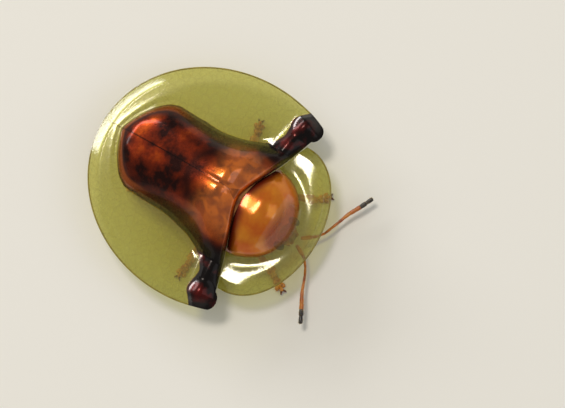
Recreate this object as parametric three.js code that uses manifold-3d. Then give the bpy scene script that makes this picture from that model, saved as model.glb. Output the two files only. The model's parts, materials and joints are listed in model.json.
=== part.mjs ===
// Tortoise beetle, life size, standing with its feelers out.
// Millimetres, +Z up, the head towards -Y and the beetle's left towards +X.
// Places are given as x, the distance to the beetle's left, and s, the distance forward
// from the rear rim. The soles of the feet are at z = 0.
import * as THREE from "three";
import { mergeVertices } from "three/addons/utils/BufferGeometryUtils.js";
import Module from "manifold-3d";

const wasm = await Module();
wasm.setup();

// Driving sizes
const gap = 0.3; // clear space between neighbouring pieces
const shell = 0.5; // thickness of the wing cases and of the pronotum
const edge = 0.3; // their thickness at the rim
const rimTop = 1.5; // upper side of the rim, all round the beetle
const gutter = 1.95; // upper side of the groove between the disc and the clear margin
const roll = { drop: 0.12, width: 0.55, knee: 0.25 }; // the margin falls slowly, then rolls down at the rim
const weld = 1e-3; // points closer than this are one point
const tailAngle = 0.03; // where the wing cases' rows start at the rear, in radians round the rim
const frontAngles = [1, 2.4]; // between these a row reaches the front edge
const halvings = 40; // steps that find where

// Wing cases: the rim is half an ellipse in plan, the disc a steep-sided dome that climbs to a hump
const elytra = {
  toWidest: 6.7,
  halfWidth: 5.98,
  columns: 16,
  rows: 24,
  discColumns: 9, // of the columns, those on the disc
  tailShare: 0.3, // of the half width, where the disc hasn't begun at the rear
};
const dome = {
  half: 2.52,
  rearCentre: 3.1,
  rearLength: 2.05,
  sidePoint: 1.2, // under 2, so that the disc ends in a blunt point
  widensFrom: 4.8,
  widensOver: 2.8,
  shoulder: 0.72,
  brow: 0.3, // quick rise at the rear edge
  browOver: 1.0,
  rise: 2.2, // steady rise from there to the hump
  risesOver: 6.2,
  risePower: 1.3,
  sideShape: 3.1,
  sidePower: 1.15,
  fallsFrom: 6.8,
  fallsTo: 9.4,
  frontLoss: 0.6, // share of the rise that is gone at the shoulders
};
const hump = { s: 7.15, rise: 0.12, half: 1.3, behind: 1.1, ahead: 0.7 };
const base = { apex: 8.05, slope: 0.34, round: 0.35 }; // seam between wing cases and pronotum
const lobe = { x: 4.97, s: 9.3, half: 0.53, reach: 0.45 }; // shoulder lobe of each wing case
const bar = { s: 8.5, slant: 0.1, from: 2, full: 2.9, fades: 3.6, to: 5.2, width: 0.45, rise: 0.26 };
const knob = { x: 4.95, s: 8.85, half: 0.8, rise: 0.26 }; // swelling of the shoulder lobe

// Pronotum: half an ellipse in plan, with a dome of its own
const pronotum = { centre: 9.6, length: 2.8, halfWidth: 4.2, columns: 22, rows: 12 };
const collar = { s: 8.9, length: 2.2, half: 2.45, rise: 1.55, shape: 2.6, power: 1.25 };
const dip = { from: 8.0, to: 9.4, depth: 0.24 }; // the pronotum rises a little ahead of its base

// Underside
const belly = {
  low: 0.95,
  sideLift: 0.25,
  ventrites: 5,
  step: 0.07,
  tailLift: 0.15,
  inset: 0.88, // share of the dome's width that the body fills
};
const abdomen = { from: 1.7, to: 5.15, columns: 8, rows: 20 };
const thorax = {
  from: abdomen.to + gap,
  to: 8.4,
  cornerReach: 0.17,
  narrower: 0.92,
  columns: 10,
  rows: 8,
};
const prothorax = { from: 8.8, to: 10.15, half: 1.5, narrower: 0.25, columns: 8, rows: 5 };
const scutellum = { base: 0.45, from: 7.3, to: 7.95, clearance: 0.24 };

// Head
const head = { s: 10.85, z: 0.86, half: [0.6, 0.42, 0.48] };
const eye = { x: 0.72, s: 10.8, z: 0.95, half: [0.22, 0.3, 0.32], clear: 0.2 };
const face = [
  { x: 0, s: 11.17, z: 0.66, half: [0.3, 0.14, 0.22] }, // clypeus
  { x: 0, s: 11.1, z: 0.42, half: [0.22, 0.14, 0.12] }, // upper lip
  { x: 0.17, s: 11.0, z: 0.34, half: [0.14, 0.16, 0.12] }, // jaw, on both sides
  { x: 0.34, s: 10.86, z: 0.34, half: [0.1, 0.22, 0.1] }, // palp, on both sides
];

// Legs: hip, knee, ankle and toe of each as [x, s, z]
const leg = {
  femur: [0.26, 0.33, 0.26],
  tibia: [0.24, 0.25, 0.28],
  coxa: 0.32,
  bluntness: 0.6,
  sides: 8,
};
const tarsus = { thick: 0.42, bevel: 0.05, halfWidths: [0.25, 0.29, 0.36], claw: 0.2, clawSpread: 0.16 };
const legPoses = {
  leg_front_left: [[0.5, 9.3, 0.82], [1.7, 9.85, 0.9], [2.2, 10.95, 0.48], [2.95, 11.75, 0]],
  leg_front_right: [[-0.5, 9.3, 0.82], [-1.55, 9.95, 0.9], [-1.95, 11.15, 0.48], [-2.55, 12.25, 0]],
  leg_middle_left: [[0.75, 7.3, 0.82], [2.05, 7.1, 0.98], [3.25, 6.85, 0.48], [4.35, 6.55, 0]],
  leg_middle_right: [[-0.75, 7.3, 0.82], [-2.25, 7.5, 0.98], [-3.6, 7.4, 0.48], [-4.8, 7.3, 0]],
  leg_hind_left: [[0.6, 5.85, 0.82], [1.85, 5.0, 0.86], [2.15, 3.65, 0.48], [2.05, 2.45, 0]],
  leg_hind_right: [[-0.6, 5.85, 0.82], [-1.85, 5.0, 0.86], [-2.15, 3.65, 0.48], [-2.05, 2.45, 0]],
};

// Feelers: eleven joints each along a bent path of [x, s, z]
const antenna = {
  base: 6,
  club: 5,
  thin: 0.25,
  thick: 0.27,
  tip: 0.1,
  overlap: 0.06,
  waist: 0.9,
  bluntness: 0.45,
  sides: 8,
};
const antennaPaths = {
  antenna_left: {
    base: [[0.22, 11.55, 0.78], [0.85, 12.25, 0.5], [1.35, 12.48, 0.5], [2.15, 12.76, 0.52]],
    club: [[2.42, 12.83, 0.53], [3.1, 13.17, 0.58], [3.85, 13.5, 0.62]],
  },
  antenna_right: {
    base: [[-0.22, 11.55, 0.78], [-0.55, 12.2, 0.5], [-1.1, 12.6, 0.5], [-1.85, 12.93, 0.52]],
    club: [[-2.1, 13.04, 0.53], [-2.8, 13.45, 0.58], [-3.45, 13.8, 0.62]],
  },
};

const colours = {
  copper: 0x7a2410,
  amber: 0xc8641a,
  dark: 0x2a0f08,
  orange: 0xd98a2e,
  black: 0x14100e,
};

const clamp = (value) => Math.min(1, Math.max(0, value));
const ease = (from, to, value) => {
  const t = clamp((value - from) / (to - from));
  return t * t * (3 - 2 * t);
};

// A place on the beetle as a point, before the whole is set on its origin
const at = (x, s, z) => new THREE.Vector3(x, -s, z);

// Seam between the pronotum and the wing cases
const seam = (x) => base.apex + base.slope * (Math.hypot(x, base.round) - base.round);

// Half width of the wing cases' rim
function rimHalf(s) {
  const along = (elytra.toWidest - s) / elytra.toWidest;
  return elytra.halfWidth * Math.sqrt(Math.max(0, 1 - along * along));
}

// Front edge of a wing case: along the seam, then round the shoulder lobe
function frontEdge(x) {
  const across = Math.min(1, Math.abs(x - lobe.x) / lobe.half);
  const round = lobe.s + lobe.reach * Math.sqrt(1 - across * across);
  return x > lobe.x ? round : Math.max(across < 1 ? round : 0, seam(x) - gap / 2);
}

// Thickness of a shell plate, thinner near the rim
const thickness = (rimGauge) => shell - (shell - edge) * ease(0.8, 1, rimGauge);

// Half width of the raised disc
function domeHalf(s) {
  const rear = Math.max(0, (dome.rearCentre - s) / dome.rearLength);
  const left = Math.max(0, 1 - rear * rear);
  const wider = clamp((s - dome.widensFrom) / dome.widensOver);
  return dome.half * Math.pow(left, 1 / dome.sidePoint) + dome.shoulder * wider * wider;
}

// Rise of the disc over the gutter, without the hump
function domeRise(s) {
  const start = dome.rearCentre - dome.rearLength;
  const brow = 1 - Math.pow(1 - clamp((s - start) / dome.browOver), 2);
  const up = 1 - Math.pow(1 - clamp((s - start) / dome.risesOver), dome.risePower);
  return (dome.brow * brow + dome.rise * up) * (1 - dome.frontLoss * ease(dome.fallsFrom, dome.fallsTo, s));
}

// Rise of the hump behind the scutellum
function humpRise(x, s) {
  const along = (s - hump.s) / (s < hump.s ? hump.behind : hump.ahead);
  return hump.rise * Math.exp(-along * along - Math.pow(x / hump.half, 2));
}

// Fall of the clear margin, from the disc's edge (gauge 1) out to the rim
function marginFall(discGauge, rimGauge, spread, halfWidth) {
  const out = Math.max(0, discGauge - 1);
  const inside = spread * Math.max(0, 1 - rimGauge);
  const share = out + inside > 0 ? out / (out + inside) : 0;
  const rolled = clamp(1 - ((1 - rimGauge) * halfWidth) / roll.width);
  const bend = ((1 + roll.knee) * rolled * rolled) / (rolled + roll.knee);
  return roll.drop * share + (gutter - rimTop - roll.drop) * bend;
}

// Upper side of the wing cases
function elytraHeight(x, s) {
  const side = Math.abs(x);
  const half = domeHalf(s);
  const across = half > 0 ? side / half : 2;
  const fall = Math.pow(Math.min(1, across), dome.sideShape);
  const arch = (domeRise(s) + humpRise(x, s)) * Math.pow(1 - fall, dome.sidePower);
  const rear = Math.max(0, (dome.rearCentre - s) / dome.rearLength);
  const behind = rear * rear + Math.pow(side / dome.half, dome.sidePoint);
  const discGauge = rear > 0 ? Math.pow(behind, 1 / dome.sidePoint) : across;
  const rimGauge = Math.hypot((elytra.toWidest - s) / elytra.toWidest, side / elytra.halfWidth);
  const margin = marginFall(discGauge, rimGauge, elytra.halfWidth / dome.half, elytra.halfWidth);
  const middle = bar.s + bar.slant * (side - bar.full);
  const strength = ease(bar.from, bar.full, side) * (1 - 0.5 * ease(bar.fades, bar.to, side));
  const ridge = bar.rise * strength * Math.exp(-Math.pow((s - middle) / bar.width, 2));
  const near = Math.min(1, Math.hypot(side - knob.x, s - knob.s) / knob.half);
  return gutter - margin + arch + ridge + knob.rise * Math.pow(1 - near * near, 2);
}

// Upper side of the pronotum
function pronotumHeight(x, s) {
  const side = Math.abs(x);
  const discGauge = Math.hypot(Math.max(0, s - collar.s) / collar.length, side / collar.half);
  const fall = Math.pow(Math.min(1, discGauge), collar.shape);
  const arch = collar.rise * Math.pow(1 - fall, collar.power);
  const ahead = Math.max(0, s - pronotum.centre) / pronotum.length;
  const rimGauge = Math.hypot(ahead, side / pronotum.halfWidth);
  const margin = marginFall(discGauge, rimGauge, pronotum.halfWidth / collar.half, pronotum.halfWidth);
  return gutter - margin + arch - dip.depth * (1 - ease(dip.from, dip.to, s));
}

// The point a given depth below a surface z = height(x, s), square to the surface
function under(height, x, s, depth) {
  const step = 0.02;
  const z = height(x, s);
  const slopeX = (height(x + step, s) - height(x - step, s)) / (2 * step);
  const slopeS = (height(x, s + step) - height(x, s - step)) / (2 * step);
  const normal = new THREE.Vector3(-slopeX, slopeS, 1).normalize();
  return at(x, s, z).addScaledVector(normal, -depth);
}

// A closed plate: a box whose two large sides are laid on two surfaces.
// place(across, back, isTop) gives a point, with across from 0 to 1 and back from front to rear.
function plate(columns, rows, place) {
  const geometry = new THREE.BoxGeometry(1, 1, 1, columns, rows, 1);
  const points = geometry.attributes.position;
  for (let i = 0; i < points.count; i++) {
    const p = place(points.getX(i) + 0.5, points.getY(i) + 0.5, points.getZ(i) > 0);
    points.setXYZ(i, p.x, p.y, p.z);
  }
  return geometry;
}

// A closed geometry as a solid, faces outward, without flat triangles
function solid(geometry) {
  const bare = new THREE.BufferGeometry().setAttribute("position", geometry.getAttribute("position"));
  if (geometry.index) bare.setIndex(geometry.index);
  const merged = mergeVertices(bare, weld);
  const order = merged.index.array;
  const kept = [];
  for (let i = 0; i < order.length; i += 3) {
    const [a, b, c] = [order[i], order[i + 1], order[i + 2]];
    if (a !== b && b !== c && a !== c) kept.push(a, b, c);
  }
  const build = (triangles) =>
    new wasm.Manifold(
      new wasm.Mesh({
        numProp: 3,
        vertProperties: merged.attributes.position.array,
        triVerts: new Uint32Array(triangles),
      }),
    );
  const made = build(kept);
  return made.volume() > 0 ? made : build(kept.reverse());
}

// The largest closed body of a solid
function largest(body) {
  return body.decompose().reduce((most, one) => (one.volume() > most.volume() ? one : most));
}

const join = (bodies) => bodies.reduce((whole, one) => whole.add(one));

// A solid as a named mesh
function mesh(name, body, colour, roughness, metalness = 0) {
  const { vertProperties, numProp, triVerts } = largest(body).getMesh();
  const points = new Float32Array((vertProperties.length / numProp) * 3);
  for (let i = 0; i < points.length / 3; i++) {
    points.set(vertProperties.subarray(i * numProp, i * numProp + 3), i * 3);
  }
  const geometry = new THREE.BufferGeometry()
    .setAttribute("position", new THREE.BufferAttribute(points, 3))
    .setIndex(new THREE.BufferAttribute(triVerts, 1));
  const made = new THREE.Mesh(
    geometry,
    new THREE.MeshStandardMaterial({ color: colour, roughness, metalness }),
  );
  made.name = name;
  return made;
}

// A rounded, spindle-shaped length between two points, with radii named from end to end.
// A bluntness of 1 rounds its ends off fully, and less makes them flatter.
function spindle(from, to, radii, sides, grow = 0, bluntness = 1) {
  const length = from.distanceTo(to) + 2 * grow;
  const widest = Math.max(...radii) + grow;
  const cap = Math.min(widest * bluntness, length / 2);
  const radiusAt = (t) => {
    const place = t * (radii.length - 1);
    const first = Math.min(radii.length - 2, Math.floor(place));
    return THREE.MathUtils.lerp(radii[first], radii[first + 1], place - first) + grow;
  };
  const stations = [0, 0.2, 1].map((share) => share * cap);
  const middle = length / 2;
  const along = [...stations, middle, ...stations.map((d) => length - d).reverse()];
  const profile = along
    .filter((d, i) => i === 0 || d - along[i - 1] > weld)
    .map((d) => {
      const depth = Math.min(d, length - d) / cap;
      const round = depth < 1 ? Math.sqrt(1 - (1 - depth) * (1 - depth)) : 1;
      return new THREE.Vector2(radiusAt(d / length) * round, d - length / 2);
    });
  const geometry = new THREE.LatheGeometry(profile, sides);
  const direction = to.clone().sub(from).normalize();
  const turn = new THREE.Quaternion().setFromUnitVectors(new THREE.Vector3(0, 1, 0), direction);
  const centre = from.clone().add(to).multiplyScalar(0.5);
  geometry.applyQuaternion(turn).translate(centre.x, centre.y, centre.z);
  return solid(geometry);
}

// An egg shape with three half sizes
function egg(x, s, z, half, grow = 0, detail = 14) {
  const geometry = new THREE.SphereGeometry(1, detail, Math.round(detail * 0.7));
  geometry.rotateX(Math.PI / 2);
  geometry.scale(half[0] + grow, half[1] + grow, half[2] + grow);
  const centre = at(x, s, z);
  return solid(geometry.translate(centre.x, centre.y, centre.z));
}

// Wing case: each line of points runs from the rear end to the front edge. The lines fan out
// from the suture to the rim, and one of them follows the edge of the disc.
function elytronPlate(side) {
  const suture = gap / 2;
  const discShare = elytra.discColumns / elytra.columns;
  const placeAt = (across, angle) => {
    const s = elytra.toWidest * (1 - Math.cos(angle));
    const rim = Math.max(suture, rimHalf(s));
    const disc = Math.max(suture, domeHalf(s), elytra.tailShare * rim);
    const x =
      across < discShare
        ? THREE.MathUtils.lerp(suture, disc, across / discShare)
        : THREE.MathUtils.lerp(disc, rim, (across - discShare) / (1 - discShare));
    return { s, x };
  };
  const lastAngle = (across) => {
    let [low, high] = frontAngles;
    for (let i = 0; i < halvings; i++) {
      const middle = (low + high) / 2;
      const { s, x } = placeAt(across, middle);
      if (s < frontEdge(x)) low = middle;
      else high = middle;
    }
    return low;
  };
  return plate(elytra.columns, elytra.rows, (across, back, isTop) => {
    const end = lastAngle(across);
    const { s, x } = placeAt(across, end - (end - tailAngle) * back);
    const rimGauge = Math.hypot((elytra.toWidest - s) / elytra.toWidest, x / elytra.halfWidth);
    return under(elytraHeight, side * x, s, isTop ? 0 : thickness(rimGauge));
  });
}

// Pronotum: rows run from side to side, closing to a point at each hind corner
function pronotumPlate() {
  const crowding = 0.8; // rows draw together towards the front rim
  return plate(pronotum.columns, pronotum.rows, (across, back, isTop) => {
    const turn = (across - 0.5) * Math.PI;
    const x = pronotum.halfWidth * Math.sin(turn);
    const front = pronotum.centre + pronotum.length * Math.cos(turn);
    const rear = Math.min(front, seam(x) + gap / 2);
    const s = rear + (front - rear) * Math.pow(1 - back, crowding);
    const ahead = Math.max(0, s - pronotum.centre) / pronotum.length;
    const rimGauge = Math.hypot(ahead, x / pronotum.halfWidth);
    return under(pronotumHeight, x, s, isTop ? 0 : thickness(rimGauge));
  });
}

// Underside of the body, lifting towards the sides
const keel = (across) => belly.low + belly.sideLift * Math.pow(2 * across - 1, 2);

// Abdomen: the underside steps up at each ventrite
function abdomenPlate() {
  const length = abdomen.to - abdomen.from;
  return plate(abdomen.columns, abdomen.rows, (across, back, isTop) => {
    const s = abdomen.to - back * length;
    const half = belly.inset * domeHalf(s);
    const x = (2 * across - 1) * half;
    if (isTop) return under(elytraHeight, x, s, shell + gap);
    const ring = (back * belly.ventrites) % 1;
    return at(x, s, keel(across) - belly.step * (1 - ring) + belly.tailLift * back);
  });
}

function thoraxPlate() {
  return plate(thorax.columns, thorax.rows, (across, back, isTop) => {
    const wide = (2 * across - 1) * belly.inset;
    const front = thorax.to + thorax.cornerReach * Math.abs(wide);
    const s = front - back * (front - thorax.from);
    const x = wide * domeHalf(s) * thorax.narrower;
    return isTop ? under(elytraHeight, x, s, shell + gap) : at(x, s, keel(across));
  });
}

function prothoraxPlate() {
  return plate(prothorax.columns, prothorax.rows, (across, back, isTop) => {
    const wide = 2 * across - 1;
    const s = prothorax.to - back * (prothorax.to - prothorax.from);
    const x = wide * prothorax.half * (1 - prothorax.narrower * (1 - back));
    return isTop ? under(pronotumHeight, x, s, shell + gap) : at(x, s, keel(across));
  });
}

// Scutellum: a small triangular plate that lies on the slope before the hump
function scutellumWedge(grow, thick) {
  const front = scutellum.to + grow;
  const rear = scutellum.from - 2 * grow;
  const half = scutellum.base + grow;
  const corner = (x, s, drop) => at(x, s, elytraHeight(0, s) + drop);
  const outline = new THREE.Shape();
  outline.moveTo(-half, 0);
  outline.lineTo(half, 0);
  outline.lineTo(0, 1);
  outline.closePath();
  const geometry = new THREE.ExtrudeGeometry(outline, { depth: 1, bevelEnabled: false });
  const points = geometry.attributes.position;
  for (let i = 0; i < points.count; i++) {
    const s = front - points.getY(i) * (front - rear);
    const p = corner(points.getX(i), s, (points.getZ(i) - 1) * thick + grow);
    points.setXYZ(i, p.x, p.y, p.z);
  }
  return solid(geometry);
}

// Foot: three joints that widen to a notched pad, then a claw joint, flat on the ground
function foot(ankle, toe) {
  const flat = new THREE.Vector2(toe.x - ankle.x, toe.y - ankle.y);
  const length = flat.length();
  const [first, second, third] = tarsus.halfWidths;
  const right = [
    [first * 0.7, 0],
    [first, length * 0.12],
    [first * 0.7, length * 0.22],
    [second, length * 0.34],
    [second * 0.7, length * 0.44],
    [third, length * 0.6],
    [third * 0.95, length * 0.72],
    [third * 0.55, length * 0.8],
    [tarsus.claw * 0.6, length * 0.74],
    [tarsus.claw * 0.7, length * 0.88],
    [tarsus.clawSpread + 0.06, length],
    [tarsus.clawSpread - 0.07, length * 0.98],
    [0, length * 0.92],
  ];
  const left = right.slice(0, -1).map(([across, along]) => [-across, along]);
  const outline = new THREE.Shape(
    [...right, ...left.reverse()].map(([across, along]) => new THREE.Vector2(across, along)),
  );
  const geometry = new THREE.ExtrudeGeometry(outline, {
    depth: tarsus.thick - tarsus.bevel,
    bevelThickness: tarsus.bevel,
    bevelSize: tarsus.bevel,
    bevelSegments: 1,
    steps: 1,
  });
  // Only the upper edge keeps its bevel, so that the sole is flat
  const points = geometry.attributes.position;
  for (let i = 0; i < points.count; i++) points.setZ(i, Math.max(0, points.getZ(i)));
  geometry.rotateZ(Math.atan2(flat.y, flat.x) - Math.PI / 2);
  geometry.translate(ankle.x, ankle.y, 0);
  return geometry;
}

// The pieces of one leg, and the hollow that its upper part needs in the body
function makeLeg([hip, knee, ankle, toe]) {
  const [h, k, a, t] = [hip, knee, ankle, toe].map((p) => at(...p));
  const short = (from, to, by) => from.clone().addScaledVector(to.clone().sub(from).normalize(), by);
  const half = gap / 2;
  const femurEnd = short(k, h, half);
  const tibiaStart = short(k, a, half);
  const tibiaEnd = short(a, k, half);
  const soleStart = short(a, t, half);
  const coxa = egg(...hip, [leg.coxa, leg.coxa, leg.coxa], 0, 8);
  const femur = spindle(h, femurEnd, leg.femur, leg.sides, 0, leg.bluntness);
  return {
    femur: coxa.add(femur),
    tibia: spindle(tibiaStart, tibiaEnd, leg.tibia, leg.sides, 0, leg.bluntness),
    foot: foot(soleStart, t),
    hollow: egg(...hip, [leg.coxa, leg.coxa, leg.coxa], gap, 10).add(
      spindle(h, femurEnd, leg.femur, leg.sides, gap),
    ),
  };
}

// A length of feeler: joints threaded on a path, each a little wider at its far end
function feeler(path, count, radii) {
  const curve = new THREE.CatmullRomCurve3(path.map((p) => at(...p)));
  const joints = [];
  for (let i = 0; i < count; i++) {
    const from = curve.getPointAt(i / count);
    const to = curve.getPointAt((i + 1) / count);
    const reach = i < count - 1 ? antenna.overlap : 0;
    to.addScaledVector(to.clone().sub(from).normalize(), reach);
    const wide = THREE.MathUtils.lerp(radii[0], radii[1], i / Math.max(1, count - 1));
    const far = i === count - 1 && radii[2] ? radii[2] : wide;
    const radiiHere = [wide * antenna.waist, wide, far];
    joints.push(spindle(from, to, radiiHere, antenna.sides, 0, antenna.bluntness));
  }
  return join(joints);
}

const beetle = new THREE.Group();
const body = new THREE.Group();
beetle.add(body);

const legs = Object.entries(legPoses).map(([name, pose]) => ({ name, ...makeLeg(pose) }));
const hollows = join(legs.map((one) => one.hollow));

// Shell plates
const notch = scutellumWedge(scutellum.clearance, 3 * shell);
body.add(mesh("elytron_left", solid(elytronPlate(1)).subtract(notch), colours.copper, 0.25, 0.4));
body.add(mesh("elytron_right", solid(elytronPlate(-1)).subtract(notch), colours.copper, 0.25, 0.4));
body.add(mesh("pronotum", solid(pronotumPlate()), colours.amber, 0.2, 0.1));
body.add(mesh("scutellum", scutellumWedge(0, shell), colours.copper, 0.3, 0.4));

// Underside of the body, hollowed where the legs fold in
body.add(mesh("abdomen", solid(abdomenPlate()).subtract(hollows), colours.orange, 0.5));
body.add(mesh("thorax", solid(thoraxPlate()).subtract(hollows), colours.orange, 0.5));
body.add(mesh("prothorax", solid(prothoraxPlate()).subtract(hollows), colours.orange, 0.5));

// Head with its face, hollowed round the eyes
const sides = [1, -1];
const features = face.flatMap(({ x, s, z, half }) =>
  (x > 0 ? sides : [1]).map((side) => egg(side * x, s, z, half, 0, 8)),
);
const skull = join([egg(0, head.s, head.z, head.half, 0, 18), ...features]);
const sockets = join(sides.map((side) => egg(side * eye.x, eye.s, eye.z, eye.half, eye.clear, 14)));
body.add(mesh("head", skull.subtract(sockets), colours.orange, 0.4));
for (const [name, side] of [["eye_left", 1], ["eye_right", -1]]) {
  body.add(mesh(name, egg(side * eye.x, eye.s, eye.z, eye.half), colours.black, 0.15));
}

for (const { name, femur, tibia, foot: sole } of legs) {
  body.add(mesh(name + "_femur", femur, colours.orange, 0.4));
  body.add(mesh(name + "_tibia", tibia, colours.orange, 0.4));
  body.add(mesh(name + "_tarsus", solid(sole), colours.orange, 0.5));
}

for (const [name, path] of Object.entries(antennaPaths)) {
  const { thin, thick, tip } = antenna;
  body.add(mesh(name + "_base", feeler(path.base, antenna.base, [thin, thin]), colours.orange, 0.4));
  body.add(
    mesh(name + "_club", feeler(path.club, antenna.club, [thick, thick, tip]), colours.dark, 0.5),
  );
}

// The origin is under the middle of the whole beetle, feelers included
const box = new THREE.Box3().setFromObject(body);
const centre = box.getCenter(new THREE.Vector3());
body.position.set(-centre.x, -centre.y, -box.min.z);

export default beetle;
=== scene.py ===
# Tortoise beetle, life size: the live animal, standing with its feelers out.
import json
import math
import bmesh
import bpy
import numpy as np
from mathutils import Matrix, Vector

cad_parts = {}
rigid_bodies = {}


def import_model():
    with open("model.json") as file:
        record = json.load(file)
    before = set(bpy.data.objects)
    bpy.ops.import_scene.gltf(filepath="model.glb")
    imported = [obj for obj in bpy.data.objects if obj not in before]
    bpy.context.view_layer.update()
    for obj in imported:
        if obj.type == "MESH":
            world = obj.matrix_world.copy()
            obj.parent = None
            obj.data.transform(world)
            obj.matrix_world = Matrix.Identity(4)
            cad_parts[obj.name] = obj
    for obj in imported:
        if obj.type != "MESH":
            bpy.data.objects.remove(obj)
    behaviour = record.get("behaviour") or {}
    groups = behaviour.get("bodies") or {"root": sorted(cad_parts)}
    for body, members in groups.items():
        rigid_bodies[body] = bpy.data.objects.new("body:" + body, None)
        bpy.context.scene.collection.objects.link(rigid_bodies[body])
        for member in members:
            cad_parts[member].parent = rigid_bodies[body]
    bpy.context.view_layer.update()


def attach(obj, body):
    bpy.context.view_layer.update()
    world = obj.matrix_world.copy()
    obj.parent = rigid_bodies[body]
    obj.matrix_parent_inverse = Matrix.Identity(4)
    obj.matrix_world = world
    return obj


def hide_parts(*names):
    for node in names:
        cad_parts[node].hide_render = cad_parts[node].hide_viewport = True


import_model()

mm = 0.001
originS = 6.984057  # the frame's origin, in mm forward from the rear rim

# Shape of the shell, in mm. x is the distance to the beetle's left, s the distance forward from
# the rear rim.
wingCase = {
    "toWidest": 6.7, "halfWidth": 5.98,
    "rimTop": 1.5, "gutter": 1.95, "rollDrop": 0.12, "rollWidth": 0.55, "rollKnee": 0.25,
    "columnsOnDisc": 66, "columnsOnMargin": 54,
    "rows": 190,
    "tailShare": 0.3, "tailAngle": 0.012, "frontAngles": (1.0, 2.4), "thickness": 0.13,
    "sutureHalf": 0.004,  # a hairline between the two wing cases
}
dome = {
    "half": 2.52, "rearCentre": 3.1, "rearLength": 2.05, "sidePoint": 1.2,
    "widensFrom": 4.8, "widensOver": 2.8, "shoulder": 0.72,
    "brow": 0.4, "browOver": 0.8, "rise": 2.2, "risesOver": 6.2, "risePower": 1.4,
    "sideShape": 3.1, "sidePower": 1.15, "falls": (6.8, 9.4), "frontLoss": 0.6,
}
# the hump is parted a little by the suture
hump = {"s": 7.15, "rise": 0.06, "half": 1.3, "behind": 1.1, "ahead": 0.7, "valley": 0.06, "valleyHalf": 0.16}
# groove round the disc, which ends at the shoulder
trough = {"out": 0.2, "width": 0.2, "depth": 0.07, "endsAtX": (2.6, 3.4), "endsAtS": (7.2, 7.8)}
# the front edge of the wing cases, rounded down to meet the pronotum
seam = {
    "apex": 8.05, "slope": 0.34, "round": 0.35, "half": 0.005,
    "fall": 0.32, "sink": 0.03, "endsAtX": (3.6, 4.4),
}
lobe = {"x": 4.97, "s": 9.3, "half": 0.53, "reach": 0.45}
bar = {
    "s": 8.5, "slant": 0.1, "full": 2.9, "width": 0.45, "rise": 0.26,
    "grows": (2, 2.9), "fades": (3.6, 5.2), "fadesBy": 0.5,
}
knob = {"x": 4.95, "s": 8.85, "half": 0.8, "rise": 0.26}
shield = {
    "centre": 9.6, "length": 2.8, "halfWidth": 4.2,
    "columns": 190, "rows": 104, "crowding": 0.8, "thickness": 0.13,
}
collar = {"s": 8.9, "length": 2.2, "half": 2.45, "rise": 1.55, "shape": 2.6, "power": 1.25}
shieldTrough = {"out": 0.3, "width": 0.34, "depth": 0.05}
# the disc of the pronotum sinks towards the seam, and its margin rises towards the front
dip = {"between": (8.0, 9.4), "depth": 0.24}
dish = {
    "between": (9.1, 11.1), "depth": 0.28, "slant": 0.42, "side": 2.6,
    "growsAtX": (0.3, 2.0), "growsAtGauge": (0.92, 1.12),
}


def ease(low, high, value):
    t = np.clip((value - low) / (high - low), 0, 1)
    return t * t * (3 - 2 * t)


def smoothMax(a, b, width):
    # the larger of two values, rounded where they are nearly equal
    h = np.clip(0.5 + 0.5 * (a - b) / width, 0, 1)
    return b + (a - b) * h + width * h * (1 - h)


def bell(value):
    # 1 at the middle of a smooth hump, near 0 beyond twice its half width
    return np.exp(-value ** 2)


def seamAt(x):
    return seam["apex"] + seam["slope"] * (np.hypot(x, seam["round"]) - seam["round"])


def rimHalf(s):
    along = (wingCase["toWidest"] - s) / wingCase["toWidest"]
    return wingCase["halfWidth"] * np.sqrt(np.maximum(0, 1 - along * along))


def domeHalf(s):
    rear = np.maximum(0, (dome["rearCentre"] - s) / dome["rearLength"])
    left = np.maximum(0, 1 - rear * rear)
    wider = np.clip((s - dome["widensFrom"]) / dome["widensOver"], 0, 1)
    return dome["half"] * left ** (1 / dome["sidePoint"]) + dome["shoulder"] * wider * wider


def discGauge(x, s):
    # 0 on the middle line of the disc, 1 on its edge
    side = np.abs(x)
    rear = np.maximum(0, (dome["rearCentre"] - s) / dome["rearLength"])
    power = dome["sidePoint"]
    behind = (rear * rear + (side / dome["half"]) ** power) ** (1 / power)
    return np.where(rear > 0, behind, side / np.maximum(domeHalf(s), 1e-6))


def discInside(x, s):
    # distance inside the edge of the disc in mm, below 0 outside it
    wider = np.clip((s - dome["widensFrom"]) / dome["widensOver"], 0, 1)
    return (dome["half"] + dome["shoulder"] * wider * wider) * (1 - discGauge(x, s))


def marginFall(gauge, rimGauge, spread, halfWidth):
    # how far the flat margin lies under the gutter, with the roll at its rim
    out = np.maximum(0, gauge - 1)
    inside = spread * np.maximum(0, 1 - rimGauge)
    share = out / np.maximum(out + inside, 1e-9)
    rest = wingCase["gutter"] - wingCase["rimTop"] - wingCase["rollDrop"]
    rolled = np.clip(1 - (1 - rimGauge) * halfWidth / wingCase["rollWidth"], 0, 1)
    bend = (1 + wingCase["rollKnee"]) * rolled * rolled / (rolled + wingCase["rollKnee"])
    return wingCase["rollDrop"] * share + rest * bend


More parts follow.
